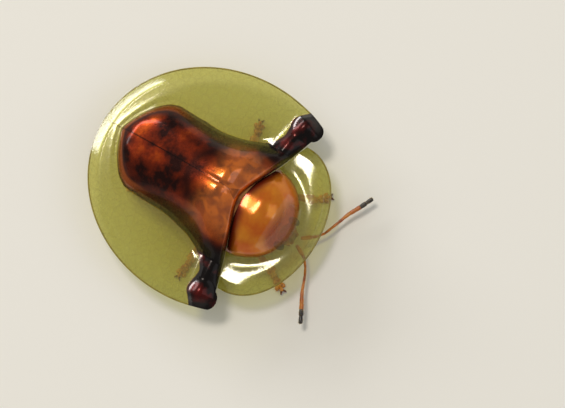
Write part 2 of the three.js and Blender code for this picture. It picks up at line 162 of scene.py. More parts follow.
def elytraHeight(x, s):
    side = np.abs(x)
    start = dome["rearCentre"] - dome["rearLength"]
    up = 1 - (1 - np.clip((s - start) / dome["risesOver"], 0, 1)) ** dome["risePower"]
    brow = 1 - (1 - np.clip((s - start) / dome["browOver"], 0, 1)) ** 2
    rise = (dome["brow"] * brow + dome["rise"] * up) * (1 - dome["frontLoss"] * ease(*dome["falls"], s))
    along = (s - hump["s"]) / np.where(s < hump["s"], hump["behind"], hump["ahead"])
    valley = hump["valley"] * bell(x / hump["valleyHalf"])
    rise = rise + (hump["rise"] - valley) * bell(along) * bell(x / hump["half"])
    half = domeHalf(s)
    across = np.where(half > 0, side / np.maximum(half, 1e-6), 2)
    arch = rise * (1 - np.minimum(1, across) ** dome["sideShape"]) ** dome["sidePower"]
    rimGauge = np.hypot((wingCase["toWidest"] - s) / wingCase["toWidest"], side / wingCase["halfWidth"])
    margin = marginFall(discGauge(x, s), rimGauge, wingCase["halfWidth"] / dome["half"], wingCase["halfWidth"])
    middle = bar["s"] + bar["slant"] * (side - bar["full"])
    strength = ease(*bar["grows"], side) * (1 - bar["fadesBy"] * ease(*bar["fades"], side))
    ridge = bar["rise"] * strength * bell((s - middle) / bar["width"])
    swell = np.minimum(1, np.hypot(side - knob["x"], s - knob["s"]) / knob["half"])
    out = (-discInside(x, s) - trough["out"]) / trough["width"]
    groove = trough["depth"] * bell(out) * (1 - ease(*trough["endsAtX"], side) * ease(*trough["endsAtS"], s))
    return wingCase["gutter"] - margin + arch + ridge - groove + knob["rise"] * (1 - swell * swell) ** 2


def shieldGauge(x, s):
    return np.hypot(np.maximum(0, s - collar["s"]) / collar["length"], np.abs(x) / collar["half"])


def shieldHeight(x, s):
    side = np.abs(x)
    gauge = shieldGauge(x, s)
    arch = collar["rise"] * (1 - np.minimum(1, gauge) ** collar["shape"]) ** collar["power"]
    ahead = np.maximum(0, s - shield["centre"]) / shield["length"]
    rimGauge = np.hypot(ahead, side / shield["halfWidth"])
    margin = marginFall(gauge, rimGauge, shield["halfWidth"] / collar["half"], shield["halfWidth"])
    out = ((gauge - 1) * collar["half"] - shieldTrough["out"]) / shieldTrough["width"]
    forward = s + dish["slant"] * (side - dish["side"])
    low = dip["depth"] * (1 - ease(*dip["between"], s))
    dished = dish["depth"] * (1 - ease(*dish["between"], forward)) * ease(*dish["growsAtX"], side)
    low = low + (dished - low) * ease(*dish["growsAtGauge"], gauge)
    return wingCase["gutter"] - margin + arch - shieldTrough["depth"] * bell(out) - low


def coverHeight(x, s):
    # the wing cases as they are seen, with their front edge rounded down to the pronotum
    edge = seamAt(x)
    step = np.maximum(0, elytraHeight(x, edge) - shieldHeight(x, edge) + seam["sink"])
    near = np.clip((s - edge + seam["fall"]) / seam["fall"], 0, 1)
    return elytraHeight(x, s) - step * (1 - ease(*seam["endsAtX"], np.abs(x))) * (1 - np.sqrt(1 - near ** 3))


def lieOn(height, x, s):
    # points of a surface in mm of the frame, and the directions square to it
    step = 0.01
    z = height(x, s)
    slopeX = (height(x + step, s) - height(x - step, s)) / (2 * step)
    slopeS = (height(x, s + step) - height(x, s - step)) / (2 * step)
    normals = np.stack([-slopeX, slopeS, np.ones_like(z)], axis=-1)
    normals /= np.linalg.norm(normals, axis=-1, keepdims=True)
    return np.stack([x, originS - s, z], axis=-1), normals


def at(x, s, z):
    return Vector((x * mm, (originS - s) * mm, z * mm))


# Colours are sRGB hex values, as a paint program gives them
def toLinear(hexText):
    parts = [int(hexText[i:i + 2], 16) / 255 for i in (1, 3, 5)]
    return tuple(c / 12.92 if c <= 0.04045 else ((c + 0.055) / 1.055) ** 2.4 for c in parts) + (1.0,)


# Adds one node with its settings and its inputs, and gives back one of its outputs
def addNode(tree, kind, settings=None, inputs=None, out=0):
    node = tree.nodes.new(kind)
    for key, value in (settings or {}).items():
        if key == "stops":
            ramp = node.color_ramp
            while len(ramp.elements) < len(value):
                ramp.elements.new(0.5)
            for element, (place, colour) in zip(ramp.elements, value):
                element.position = place
                element.color = toLinear(colour)
        else:
            setattr(node, key, value)
    for key, value in (inputs or {}).items():
        if isinstance(value, bpy.types.NodeSocket):
            tree.links.new(value, node.inputs[key])
        else:
            node.inputs[key].default_value = toLinear(value) if str(value).startswith("#") else value
    return node.outputs[out] if len(node.outputs) else node


def newMaterial(name):
    material = bpy.data.materials.new(name)
    material.use_nodes = True
    material.node_tree.nodes.clear()
    return material, material.node_tree


# Makes a mesh object from arrays in mm and gives it its material, body and nodes
def addPiece(name, points, faces, material, slot, nodes, attributes=None):
    mesh = bpy.data.meshes.new(name)
    mesh.from_pydata((np.asarray(points) * mm).tolist(), [], faces)
    mesh.shade_smooth()
    for key, values in (attributes or {}).items():
        values = np.asarray(values, dtype=np.float32)
        kind = "FLOAT" if values.ndim == 1 else "FLOAT_VECTOR"
        layer = mesh.attributes.new(key, kind, "POINT")
        layer.data.foreach_set("value" if values.ndim == 1 else "vector", values.ravel())
    mesh.materials.append(material)
    piece = bpy.data.objects.new(name, mesh)
    bpy.context.scene.collection.objects.link(piece)
    finishPiece(piece, nodes)
    return piece


def finishPiece(piece, nodes):
    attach(piece, "root")
    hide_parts(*nodes)


# A closed shell from the kept cells of a grid: top, underside and the walls between them
def shellFaces(shape, keep, upward):
    rows, columns = shape
    number = np.arange(rows * columns).reshape(rows, columns)
    corners = [number[:-1, :-1], number[:-1, 1:], number[1:, 1:], number[1:, :-1]]
    if not upward:
        corners.reverse()
    below = rows * columns
    tops = np.stack([c[keep] for c in corners], axis=-1)
    faces = [tops, tops[:, ::-1] + below]
    padded = np.pad(keep, 1)
    beside = [padded[:-2, 1:-1], padded[1:-1, 2:], padded[2:, 1:-1], padded[1:-1, :-2]]
    if not upward:
        # reversed corners start with the cell's far side
        beside = [beside[2], beside[1], beside[0], beside[3]]
    for side in range(4):
        edge = keep & ~beside[side]
        a, b = corners[side][edge], corners[(side + 1) % 4][edge]
        faces.append(np.stack([b, a, a + below, b + below], axis=-1))
    return faces[0], faces[1], np.concatenate(faces[2:])


def addShell(name, top, normals, thickness, keep, attributes, material, slot, nodes):
    cellA = top[1:, :-1] - top[:-1, :-1]
    cellB = top[:-1, 1:] - top[:-1, :-1]
    upward = np.median(np.cross(cellB, cellA)[keep][:, 2]) > 0
    tops, unders, walls = shellFaces(top.shape[:2], keep, upward)
    points = np.concatenate([top.reshape(-1, 3), (top - normals * thickness).reshape(-1, 3)])
    square = np.concatenate([normals.reshape(-1, 3), -normals.reshape(-1, 3)])
    faces = np.concatenate([tops, unders, walls])
    used, order = np.unique(faces, return_inverse=True)
    faces = order.reshape(faces.shape)
    doubled = {key: np.concatenate([value.reshape((-1,) + value.shape[2:])] * 2)[used]
               for key, value in attributes.items()}
    piece = addPiece(name, points[used], faces.tolist(), material, slot, nodes, doubled)
    # the shell is shaded by its own formula, so that no seam shows where it is divided
    loops = square[used][faces.ravel()]
    loops[(len(tops) + len(unders)) * 4:] = 0
    piece.data.normals_split_custom_set(loops.tolist())
    return piece


# Turns a piece with Geometry Nodes into a plain mesh
def applyNodes(piece, tree, values, nodes):
    modifier = piece.modifiers.new("nodes", "NODES")
    modifier.node_group = tree
    for item in tree.interface.items_tree:
        if item.item_type == "SOCKET" and item.in_out == "INPUT" and item.name in values:
            modifier[item.identifier] = values[item.name]
    depsgraph = bpy.context.evaluated_depsgraph_get()
    made = bpy.data.meshes.new_from_object(piece.evaluated_get(depsgraph), depsgraph=depsgraph)
    piece.modifiers.remove(modifier)
    result = bpy.data.objects.new(piece.name + "_made", made)
    name = piece.name
    bpy.data.objects.remove(piece)
    result.name = name
    bpy.context.scene.collection.objects.link(result)
    finishPiece(result, nodes)
    return result


def newTree(name, numbers):
    # a tree that takes a geometry, some numbers and a material
    tree = bpy.data.node_groups.new(name, "GeometryNodeTree")
    tree.is_modifier = True
    for label, kind, value in [("Geometry", "Geometry", None), *numbers, ("Material", "Material", None)]:
        socket = tree.interface.new_socket(label, in_out="INPUT", socket_type="NodeSocket" + kind)
        if value is not None:
            socket.default_value = value
    tree.interface.new_socket("Geometry", in_out="OUTPUT", socket_type="NodeSocketGeometry")
    return tree, tree.nodes.new("NodeGroupInput").outputs


def endTree(tree, given, geometry, smooth=True):
    # real faces in the given material
    made = addNode(tree, "GeometryNodeRealizeInstances", None, {0: geometry})
    if smooth:
        made = addNode(tree, "GeometryNodeSetShadeSmooth", None, {0: made})
    made = addNode(tree, "GeometryNodeSetMaterial", None, {"Geometry": made, "Material": given["Material"]})
    addNode(tree, "NodeGroupOutput", None, {0: made})
    return tree


# Settings that many nodes share
smoothly = {"interpolation_type": "SMOOTHSTEP"}
blend = {"data_type": "RGBA"}
times = {"operation": "MULTIPLY"}
timesPlus = {"operation": "MULTIPLY_ADD"}

# Sizes in mm of what all the shell has in common
shellTexture = {"broad": 1.1, "fine": 0.2, "wander": 0.16, "relief": 0.016, "specular": 0.3, "strength": 0.6}

# Clear cuticle of the margins: a thin glassy sheet, a little olive, through which the ground shows.
# Where the shell is opaque the same cuticle lies over a mirror-like layer, which gives the copper.
clearCuticle = {
    "tint": "#eeeeb6", "body": "#a8942c", "haze": 0.1, "wallHaze": 0.08, "sutureHaze": 0.5, "windowLets": 0.78,
    "areole": 0.4, "wallWave": 0.25, "relief": 0.005, "roughness": 0.12, "bodyRoughness": 0.35,
    "gloss": 0.075, "flatGloss": 0.6,
}


def shellMaterial(name, isShield, seeThrough):
    material, tree = newMaterial(name)
    place = addNode(tree, "ShaderNodeTexCoord", out=3)
    discIn = addNode(tree, "ShaderNodeAttribute", {"attribute_name": "discIn"}, out=2)
    broad, fine = [addNode(tree, "ShaderNodeTexNoise", None, {
        "Vector": place, "Scale": 1 / (size * mm), "Detail": 3.0, "Roughness": roughness})
        for size, roughness in ((shellTexture["broad"], 0.55), (shellTexture["fine"], 0.6))]
    # the edge of the colour wanders a little
    wander = addNode(tree, "ShaderNodeMath", timesPlus,
                     {0: broad, 1: shellTexture["wander"], 2: -shellTexture["wander"] / 2})
    inside = addNode(tree, "ShaderNodeMath", {"operation": "ADD"}, {0: discIn, 1: wander})
    look = amberLook if isShield else copperLook
    colour, metallic, roughness, height, coat = look(tree, inside, broad, fine)
    skin = {"Coat Weight": coat, "Coat Roughness": 0.05, "Coat IOR": 1.5,
            "Specular IOR Level": shellTexture["specular"]}
    if not seeThrough:
        bump = addNode(tree, "ShaderNodeBump", None, {
            "Height": height, "Distance": shellTexture["relief"] * mm, "Strength": shellTexture["strength"]})
        surface = addNode(tree, "ShaderNodeBsdfPrincipled", None, {
            "Base Color": colour, "Metallic": metallic, "Roughness": roughness, "Normal": bump, **skin})
        addNode(tree, "ShaderNodeOutputMaterial", None, {"Surface": surface})
        return material
    closing, window = [addNode(tree, "ShaderNodeAttribute", {"attribute_name": mark}, out=2)
                       for mark in ("suture", "window")]
    # cells of the clear cuticle, seen as faint lighter walls, and the dark line of the suture
    cells = addNode(tree, "ShaderNodeTexVoronoi", {"feature": "DISTANCE_TO_EDGE"},
                    {"Vector": place, "Scale": 1 / (clearCuticle["areole"] * mm)})
    walls = addNode(tree, "ShaderNodeMapRange", smoothly, {0: cells, 1: 0.02, 2: 0.14, 3: 1.0, 4: 0.0})
    cellHaze = addNode(tree, "ShaderNodeMath", timesPlus,
                       {0: walls, 1: clearCuticle["wallHaze"], 2: clearCuticle["haze"]})
    haze = addNode(tree, "ShaderNodeMath", timesPlus, {0: closing, 1: clearCuticle["sutureHaze"], 2: cellHaze})
    opaque = addNode(tree, "ShaderNodeMapRange", smoothly, {0: inside, 1: -0.02, 2: 0.07, 3: 0.0, 4: 1.0})
    shut = addNode(tree, "ShaderNodeMath", timesPlus, {0: window, 1: -clearCuticle["windowLets"], 2: 1.0})
    fullCover = addNode(tree, "ShaderNodeMath", times, {0: opaque, 1: shut})
    cover = addNode(tree, "ShaderNodeMath", {"operation": "MAXIMUM"}, {0: fullCover, 1: haze})
    wave = addNode(tree, "ShaderNodeMath", timesPlus, {0: walls, 1: clearCuticle["wallWave"], 2: broad})
    # from the clear margin to the opaque disc
    bodyRoughness, relief = [addNode(tree, "ShaderNodeMapRange", None, {0: opaque, 3: clear, 4: solid})
                             for clear, solid in ((clearCuticle["bodyRoughness"], roughness), (wave, height))]
    bodyMetallic = addNode(tree, "ShaderNodeMath", times, {0: opaque, 1: metallic})
    thin = addNode(tree, "ShaderNodeMix", blend,
                   {0: window, 6: amberCuticle["tint"], 7: amberCuticle["thin"]}, out=2)
    bodyColour, tint = [addNode(tree, "ShaderNodeMix", blend, {0: opaque, 6: clear, 7: solid}, out=2)
                        for clear, solid in ((clearCuticle["body"], colour), (clearCuticle["tint"], thin))]
    bump = addNode(tree, "ShaderNodeBump", None, {
        "Height": relief, "Distance": clearCuticle["relief"] * mm, "Strength": shellTexture["strength"]})
    solidPart = addNode(tree, "ShaderNodeBsdfPrincipled", None, {
        "Base Color": bodyColour, "Metallic": bodyMetallic, "Roughness": bodyRoughness,
        "Normal": bump, **skin})
    clearPart = addNode(tree, "ShaderNodeBsdfTransparent", None, {"Color": tint})
    mixed = addNode(tree, "ShaderNodeMixShader", None, {0: cover, 1: clearPart, 2: solidPart})
    glare = addNode(tree, "ShaderNodeBsdfGlossy", None, {
        "Roughness": clearCuticle["roughness"], "Normal": bump})
    # the same gloss on both sides of the sheet, stronger at a flat angle
    aslant = addNode(tree, "ShaderNodeLayerWeight", None, {"Blend": 0.5, "Normal": bump}, out=1)
    rising = addNode(tree, "ShaderNodeMath", {"operation": "POWER"}, {0: aslant, 1: 5.0})
    shine = addNode(tree, "ShaderNodeMath", timesPlus,
                    {0: rising, 1: clearCuticle["flatGloss"], 2: clearCuticle["gloss"]})
    surface = addNode(tree, "ShaderNodeMixShader", None, {0: shine, 1: mixed, 2: glare})
    addNode(tree, "ShaderNodeOutputMaterial", None, {"Surface": surface})
    return material


# Copper cuticle: dark metal with an orange painted highlight over the hump, black in the shoulder bars
copperCuticle = {
    "line": "#160402", "band": "#8c4210", "maroon": "#240602", "copper": "#782405", "bright": "#b0480a",
    "paintedHighlight": "#f07c1c", "barBlack": "#0c0403", "barPaintedGlint": "#5a0e08",
    # each away from the painted highlight, and in it
    "metallic": (0.8, 0.65), "leastRoughness": (0.2, 0.16), "coat": (0.14, 1.0),
    "barMetallic": 0.6, "pitShadeTone": 0.8, "pitDepth": 0.2, "broadWave": 1.6, "fineWave": 0.08, "fineBlur": 0.12,
}


def copperLook(tree, inside, broad, fine):
    hot, barIn, rearness, shade, closing = [
        addNode(tree, "ShaderNodeAttribute", {"attribute_name": mark}, out=2)
        for mark in ("hot", "barIn", "rearness", "shade", "suture")]
    rows = addNode(tree, "ShaderNodeAttribute", {"attribute_name": "rows"}, out=1)
    patches = addNode(tree, "ShaderNodeTexNoise", None,
                      {"Vector": rows, "Scale": 0.5, "Detail": 1.5, "Roughness": 0.5, "Distortion": 0.6})
    # punctures in rows along each wing case
    pits = addNode(tree, "ShaderNodeTexVoronoi", None, {"Vector": rows, "Scale": 1.0, "Randomness": 0.5})
    paintedEdgeShade, bandOut, edge, patchy, barHere, pit = [
        addNode(tree, "ShaderNodeMapRange", smoothly, dict(enumerate(row))) for row in (
            # what is measured, from, to, and the value at each
            # painted shade: darker towards the steep edge of the disc, where its flanks look dark
            (inside, 0.45, 1.1, 0.85, 0.0),
            (inside, 0.38, 0.55, 1.0, 0.0),
            (inside, 0.06, 0.16, 0.95, 0.0),
            (patches, 0.36, 0.62, 0.5, 1.1),
            (barIn, -0.5, 0.35, 0.0, 1.0),
            (pits, 0.06, 0.28, 0.0, 1.0))]
    paintedHighlightHere, bandHere = [addNode(tree, "ShaderNodeMath", times, {0: a, 1: b})
                         for a, b in ((hot, patchy), (bandOut, rearness))]
    tone, barTone = [addNode(tree, "ShaderNodeValToRGB", {"stops": [
        (spot, copperCuticle[name]) for spot, name in stops]}, {0: broad}) for stops in (
            ((0.38, "maroon"), (0.56, "copper"), (0.78, "bright")),
            # the shoulder bars: black, with painted red glints where the noise is high
            ((0.5, "barBlack"), (0.68, "barPaintedGlint")))]
    # painted shade in a crescent behind the hump and towards the edge, the hump's painted highlight, a paler
    # band along the rear edge, dark lines along the edge and the suture, and the shoulder bars over all
    colour = tone
    for share, over in ((shade, "maroon"), (paintedEdgeShade, "maroon"), (paintedHighlightHere, "paintedHighlight"), (bandHere, "band"),
                        (edge, "line"), (closing, "line"), (barHere, None)):
        colour = addNode(tree, "ShaderNodeMix", blend,
                         {0: share, 6: colour, 7: copperCuticle[over] if over else barTone}, out=2)
    # painted shade darkens the colour in the punctures
    paintedPitShade = addNode(tree, "ShaderNodeMapRange", None, {0: pit, 3: copperCuticle["pitShadeTone"]})
    colour = addNode(tree, "ShaderNodeMix", {"blend_type": "MULTIPLY", **blend},
                     {0: 1.0, 6: colour, 7: paintedPitShade}, out=2)
    layer, blur, coat = [addNode(tree, "ShaderNodeMapRange", None, {0: hot, 2: 0.85, 3: cold, 4: bright})
                         for cold, bright in (copperCuticle["metallic"], copperCuticle["leastRoughness"],
                                              copperCuticle["coat"])]
    metallic = addNode(tree, "ShaderNodeMapRange", None, {
        0: barHere, 3: layer, 4: copperCuticle["barMetallic"]})
    roughness = addNode(tree, "ShaderNodeMath", timesPlus, {0: fine, 1: copperCuticle["fineBlur"], 2: blur})
    shallow = addNode(tree, "ShaderNodeMath", times, {0: pit, 1: copperCuticle["pitDepth"]})
    wave = addNode(tree, "ShaderNodeMath", timesPlus, {0: broad, 1: copperCuticle["broadWave"], 2: shallow})
    height = addNode(tree, "ShaderNodeMath", timesPlus, {0: fine, 1: copperCuticle["fineWave"], 2: wave})
    return colour, metallic, roughness, height, coat


# Amber cuticle of the pronotum's disc: polished honey colour, darker at its edge and rear
amberCuticle = {
    "edge": "#7c2c06", "amber": "#c85e08", "bright": "#e08a18", "rear": "#7a2006",
    "tint": "#c8640e", "thin": "#f0a860", "metallic": 0.35, "rearMetallic": 0.3,
    "leastRoughness": 0.14, "coat": 0.3, "fineWave": 0.06, "fineBlur": 0.12,
}


def amberLook(tree, inside, broad, fine):
    rearness, closing = [addNode(tree, "ShaderNodeAttribute", {"attribute_name": mark}, out=2)
                         for mark in ("rearness", "suture")]
    edge = addNode(tree, "ShaderNodeMapRange", smoothly, {0: inside, 1: 0.0, 2: 0.2, 3: 0.85, 4: 0.0})
    colour = addNode(tree, "ShaderNodeValToRGB", {"stops": [
        (0.35, amberCuticle["amber"]), (0.7, amberCuticle["bright"])]}, {0: broad})
    for share, over in ((rearness, amberCuticle["rear"]), (edge, amberCuticle["edge"]),
                        (closing, copperCuticle["line"])):
        colour = addNode(tree, "ShaderNodeMix", blend, {0: share, 6: colour, 7: over}, out=2)
    metallic, roughness, height = [
        addNode(tree, "ShaderNodeMath", timesPlus, dict(enumerate(row))) for row in (
            (rearness, amberCuticle["rearMetallic"], amberCuticle["metallic"]),
            (fine, amberCuticle["fineBlur"], amberCuticle["leastRoughness"]),
            (fine, amberCuticle["fineWave"], broad))]
    return colour, metallic, roughness, height, amberCuticle["coat"]


# Chitin of the legs, head, belly and feelers: waxy, with soft edges where light comes through.
# Three colours from dark to pale, then the grain in mm, the roughness, the share of light let in
# and the relief in mm.
def chitinMaterial(name, dark, middle, pale, grainSize, roughness, letIn=0.25, relief=0.02):
    material, tree = newMaterial(name)
    place = addNode(tree, "ShaderNodeTexCoord", out=3)
    patches, grain = [addNode(tree, "ShaderNodeTexNoise", None, {
        "Vector": place, "Scale": 1 / (size * mm), "Detail": detail, "Roughness": rough})
        for size, detail, rough in ((0.5, 4.0, 0.65), (grainSize, 2.0, 0.6))]
    both = addNode(tree, "ShaderNodeMath", timesPlus, {0: grain, 1: 0.3, 2: patches})
    colour = addNode(tree, "ShaderNodeValToRGB", {
        "stops": [(0.48, dark), (0.64, middle), (0.82, pale)]}, {0: both})
    rough = addNode(tree, "ShaderNodeMath", timesPlus, {0: grain, 1: 0.25, 2: roughness - 0.12})
    bump = addNode(tree, "ShaderNodeBump", None, {"Height": grain, "Distance": relief * mm, "Strength": 0.6})
    surface = addNode(tree, "ShaderNodeBsdfPrincipled", None, {
        "Base Color": colour, "Roughness": rough, "Normal": bump, "Subsurface Weight": letIn,
        "Subsurface Radius": (1.0, 0.45, 0.2), "Subsurface Scale": 0.15 * mm,
        "Coat Weight": 0.35, "Coat Roughness": 0.2})
    addNode(tree, "ShaderNodeOutputMaterial", None, {"Surface": surface})
    return material


copperShell = shellMaterial("copper_cuticle", False, False)
copperMargin = shellMaterial("clear_cuticle_of_wing_case", False, True)
amberShell = shellMaterial("amber_cuticle", True, False)
amberMargin = shellMaterial("clear_cuticle_of_pronotum", True, True)
# a dull olive cord, so that the clear edge is drawn as a fine dark line
rimCuticle = chitinMaterial("thickened_rim_cuticle", "#6c5a1e", "#94812e", "#b4a24c", 0.12, 0.25)
# brown under the disc, seen dimly through the margins
bellyCuticle = chitinMaterial("belly_cuticle", "#6a3410", "#b06a24", "#d29a48", 0.09, 0.32)
# honey yellow that glows at its edges
legCuticle = chitinMaterial("leg_cuticle", "#a05a16", "#d08a30", "#e8b25a", 0.08, 0.34, 0.4)
# rusty orange shafts, then sooty black ends
feelerCuticle = chitinMaterial("feeler_cuticle", "#8a3c08", "#b8620e", "#cf8420", 0.06, 0.36, 0.3)
clubCuticle = chitinMaterial("feeler_end_cuticle", "#0e0a08", "#1c1410", "#33241a", 0.05, 0.45, 0.0)
# red-brown face, shinier than the legs
headCuticle = chitinMaterial("head_cuticle", "#5c1a06", "#94380e", "#b8661e", 0.07, 0.26)
# dark polished horn
clawCuticle = chitinMaterial("claw_cuticle", "#2a0f06", "#5a2410", "#8a4a1e", 0.05, 0.25, 0.1)
# black glass
eyeCuticle = chitinMaterial("eye_cuticle", "#070505", "#120a0a", "#2a1612", 0.04, 0.16, 0.0, 0.004)
# straw-coloured fuzz that softens the soles
hairMaterial = chitinMaterial("pale_hair", "#a07a3a", "#c8a860", "#e4d098", 0.03, 0.45, 0.2)
print("materials made")


# Wing cases
def frontEdge(x):
    across = np.minimum(1, np.abs(x - lobe["x"]) / lobe["half"])
    arc = lobe["s"] + lobe["reach"] * np.sqrt(1 - across * across)
    inner = np.where(across < 1, arc, 0)
    return np.where(x > lobe["x"], arc, np.maximum(inner, seamAt(x) - seam["half"]))


def wingCaseGrid():
    discShare = wingCase["columnsOnDisc"] / (wingCase["columnsOnDisc"] + wingCase["columnsOnMargin"])
    across = np.linspace(0, 1, wingCase["columnsOnDisc"] + wingCase["columnsOnMargin"] + 1)

    def placeAt(share, angle):
        s = wingCase["toWidest"] * (1 - np.cos(angle))
        suture = wingCase["sutureHalf"]
        rim = np.maximum(suture, rimHalf(s))
        disc = np.maximum(np.maximum(suture, domeHalf(s)), wingCase["tailShare"] * rim)
        onDisc = suture + (disc - suture) * share / discShare
        onMargin = disc + (rim - disc) * (share - discShare) / (1 - discShare)
        return np.where(share < discShare, onDisc, onMargin), s

    # where each column meets the front edge, by halving
    low, high = [np.full_like(across, angle) for angle in wingCase["frontAngles"]]
    for _ in range(40):
        middle = (low + high) / 2
        x, s = placeAt(across, middle)
        short = s < frontEdge(x)
        low, high = np.where(short, middle, low), np.where(short, high, middle)
    back = np.linspace(0, 1, wingCase["rows"] + 1)[:, None]
    angle = low[None] - (low[None] - wingCase["tailAngle"]) * back
    return placeAt(np.broadcast_to(across, angle.shape), angle)


# Where the dark bar of the shoulder lies: mm inside its rear edge, which draws in at a waist
# and then swells round the lobe
shoulderMark = {
    "rear": 7.66, "inner": 2.75, "innerSlope": 1.2,
    # the rear edge moves forward by so much, over this part of the width
    "bends": [(0.48, 3.1, 4.1), (-0.08, 4.15, 4.85), (0.6, 4.9, 5.95)],
}


def barInside(x, s):
    side = np.abs(x)
    bends = sum(by * ease(low, high, side) for by, low, high in shoulderMark["bends"])
    inner = (side - shoulderMark["inner"]) * shoulderMark["innerSlope"]
    return np.minimum(s - shoulderMark["rear"] - bends, inner)


# Places of the colours in mm: the painted highlight on the front slope of the hump, the painted shade of the
# dark crescent behind it, the rear of the disc, the dark lines along suture and seam, and the punctures
wingMarks = {
    "opaqueFrom": 0.2, "softJoin": 0.3, "rear": (2.6, 4.4),
    "paintedHighlight": 0.85, "highlightGrows": (5.7, 7.3), "highlightFades": (1.2, 2.7),
    "shade": 0.9, "crescent": (1.7, 1.75), "crescentS": 6.9, "crescentAt": 0.95, "crescentWidth": 0.2,
    "crescentFades": (5.6, 6.8),
    "suture": 0.03, "sutureLoss": 0.6, "sutureFades": (5.5, 7.0), "seam": 0.07, "seamFades": (3.4, 4.2),
    "rowGap": 0.28 / 3, "narrowest": 1.5, "pitGap": 0.3, "otherSide": 40,
}


def opaqueCells(opaque):
    return opaque[:-1, :-1] & opaque[1:, :-1] & opaque[:-1, 1:] & opaque[1:, 1:]


def addWingCases():
    x, s = wingCaseGrid()
    inBar = barInside(x, s)
    inside = smoothMax(discInside(x, s), inBar, wingMarks["softJoin"])
    onDisc = opaqueCells(inside > wingMarks["opaqueFrom"])
    # the dark crescent behind the hump is painted shade, standing in for the dark reflection in the hollow at
    # its foot
    around = np.hypot(x / wingMarks["crescent"][0], (s - wingMarks["crescentS"]) / wingMarks["crescent"][1])
    crescent = bell((around - wingMarks["crescentAt"]) / wingMarks["crescentWidth"])
    suture = bell(x / wingMarks["suture"]) * (1 - wingMarks["sutureLoss"] * ease(*wingMarks["sutureFades"], s))
    front = bell((seamAt(x) - s) / wingMarks["seam"]) * (1 - ease(*wingMarks["seamFades"], x))
    column = x / wingMarks["rowGap"] / np.maximum(domeHalf(s), wingMarks["narrowest"])
    marks = {
        "discIn": inside, "barIn": inBar,
        # the painted highlight on the front slope of the hump, where the cuticle is also made glossier
        "hot": wingMarks["paintedHighlight"] * ease(*wingMarks["highlightGrows"], s) * (1 - ease(*wingMarks["highlightFades"], x)),
        "shade": wingMarks["shade"] * crescent * (1 - ease(*wingMarks["crescentFades"], s)),
        "rearness": 1 - ease(*wingMarks["rear"], s), "window": 0 * s, "suture": np.maximum(suture, front),
    }
    for label, side in (("left", 1), ("right", -1)):
        top, normals = lieOn(coverHeight, side * x, s)
        # the right wing case takes its punctures from another part of the pattern
        shift = 0 if side > 0 else wingMarks["otherSide"]
        marks["rows"] = np.stack([column + shift, s / wingMarks["pitGap"], 0 * s], axis=-1)
        for part, keep, cuticle in (("disc", onDisc, copperShell), ("margin", ~onDisc, copperMargin)):
            addShell(f"wing_case_{part}_{label}", top, normals, wingCase["thickness"], keep, marks,
                     cuticle, "wing_case", ["elytron_" + label])


addWingCases()
print("wing cases made")


# Pronotum. The front of its disc lets the dark head and eyes show through.
shieldMarks = {
    "opaqueFrom": 0.2, "windowGrows": (9.95, 10.45), "windowEnds": (1.0, 1.5),
    "rear": (8.1, 8.6), "rearSlant": 0.3, "seam": 0.06, "seamShade": 0.9, "seamGrows": (-0.1, 0.3),
}


def addPronotum():
    turn = (np.linspace(0, 1, shield["columns"] + 1)[None] - 0.5) * math.pi
    back = np.linspace(0, 1, shield["rows"] + 1)[:, None]
    x = shield["halfWidth"] * np.sin(turn) + 0 * back
    front = shield["centre"] + shield["length"] * np.cos(turn)
    rear = np.minimum(front - 0.02, seamAt(x) + seam["half"])
    s = rear + (front - rear) * (1 - back) ** shield["crowding"]
    top, normals = lieOn(shieldHeight, x, s)
    inside = collar["half"] * (1 - shieldGauge(x, s))
    side = np.abs(x)
    window = ease(*shieldMarks["windowGrows"], s) * (1 - ease(*shieldMarks["windowEnds"], side))
    onDisc = opaqueCells((inside > shieldMarks["opaqueFrom"]) & (window <= 0))
    line = bell((s - seamAt(x)) / shieldMarks["seam"]) * ease(*shieldMarks["seamGrows"], inside)
    marks = {
        "discIn": inside, "window": window, "suture": shieldMarks["seamShade"] * line,
        "rearness": 1 - ease(*shieldMarks["rear"], s - shieldMarks["rearSlant"] * side),
    }
    for part, keep, cuticle in (("disc", onDisc, amberShell), ("margin", ~onDisc, amberMargin)):
        addShell("pronotum_" + part, top, normals, shield["thickness"], keep, marks,
                 cuticle, "pronotum", ["pronotum"])


addPronotum()


# Scutellum: a small raised triangle between the bases of the wing cases
scutellum = {
    "half": 0.3, "from": 7.48, "to": 7.92, "rise": 0.05, "steps": 20, "thickness": 0.12,
    "taper": 0.8, "point": 0.01, "flatness": 3,
    # one colour all over, between the punctures, with half the painted highlight and a little painted shade
    "marks": {"discIn": 2, "barIn": -1, "hot": 0.5, "shade": 0.3, "rearness": 0, "suture": 0}, "row": 70.5,
}


def addScutellum():
    n = scutellum["steps"]
    u, v = np.meshgrid(np.linspace(-1, 1, 2 * n + 1), np.linspace(0, 1, n + 1))
    x = u * (scutellum["half"] * (1 - v) ** scutellum["taper"] + scutellum["point"])
    s = scutellum["to"] - v * (scutellum["to"] - scutellum["from"])
    top, normals = lieOn(coverHeight, x, s)
    crown = scutellum["rise"] * (1 - np.abs(u) ** scutellum["flatness"]) * np.sqrt(np.clip(v * 6, 0, 1))
    marks = {key: np.full_like(s, value) for key, value in scutellum["marks"].items()}
    marks["rows"] = np.stack([0 * x + scutellum["row"], s / wingMarks["pitGap"], 0 * s], axis=-1)
    addShell("scutellum_plate", top + normals * crown[..., None], normals, scutellum["thickness"],
             np.ones((n, 2 * n), bool), marks, copperShell, "wing_case", ["scutellum"])


addScutellum()
print("pronotum and scutellum made")


# Thickened rim of the clear margins
rimBead = {"radius": 0.03, "sides": 10}


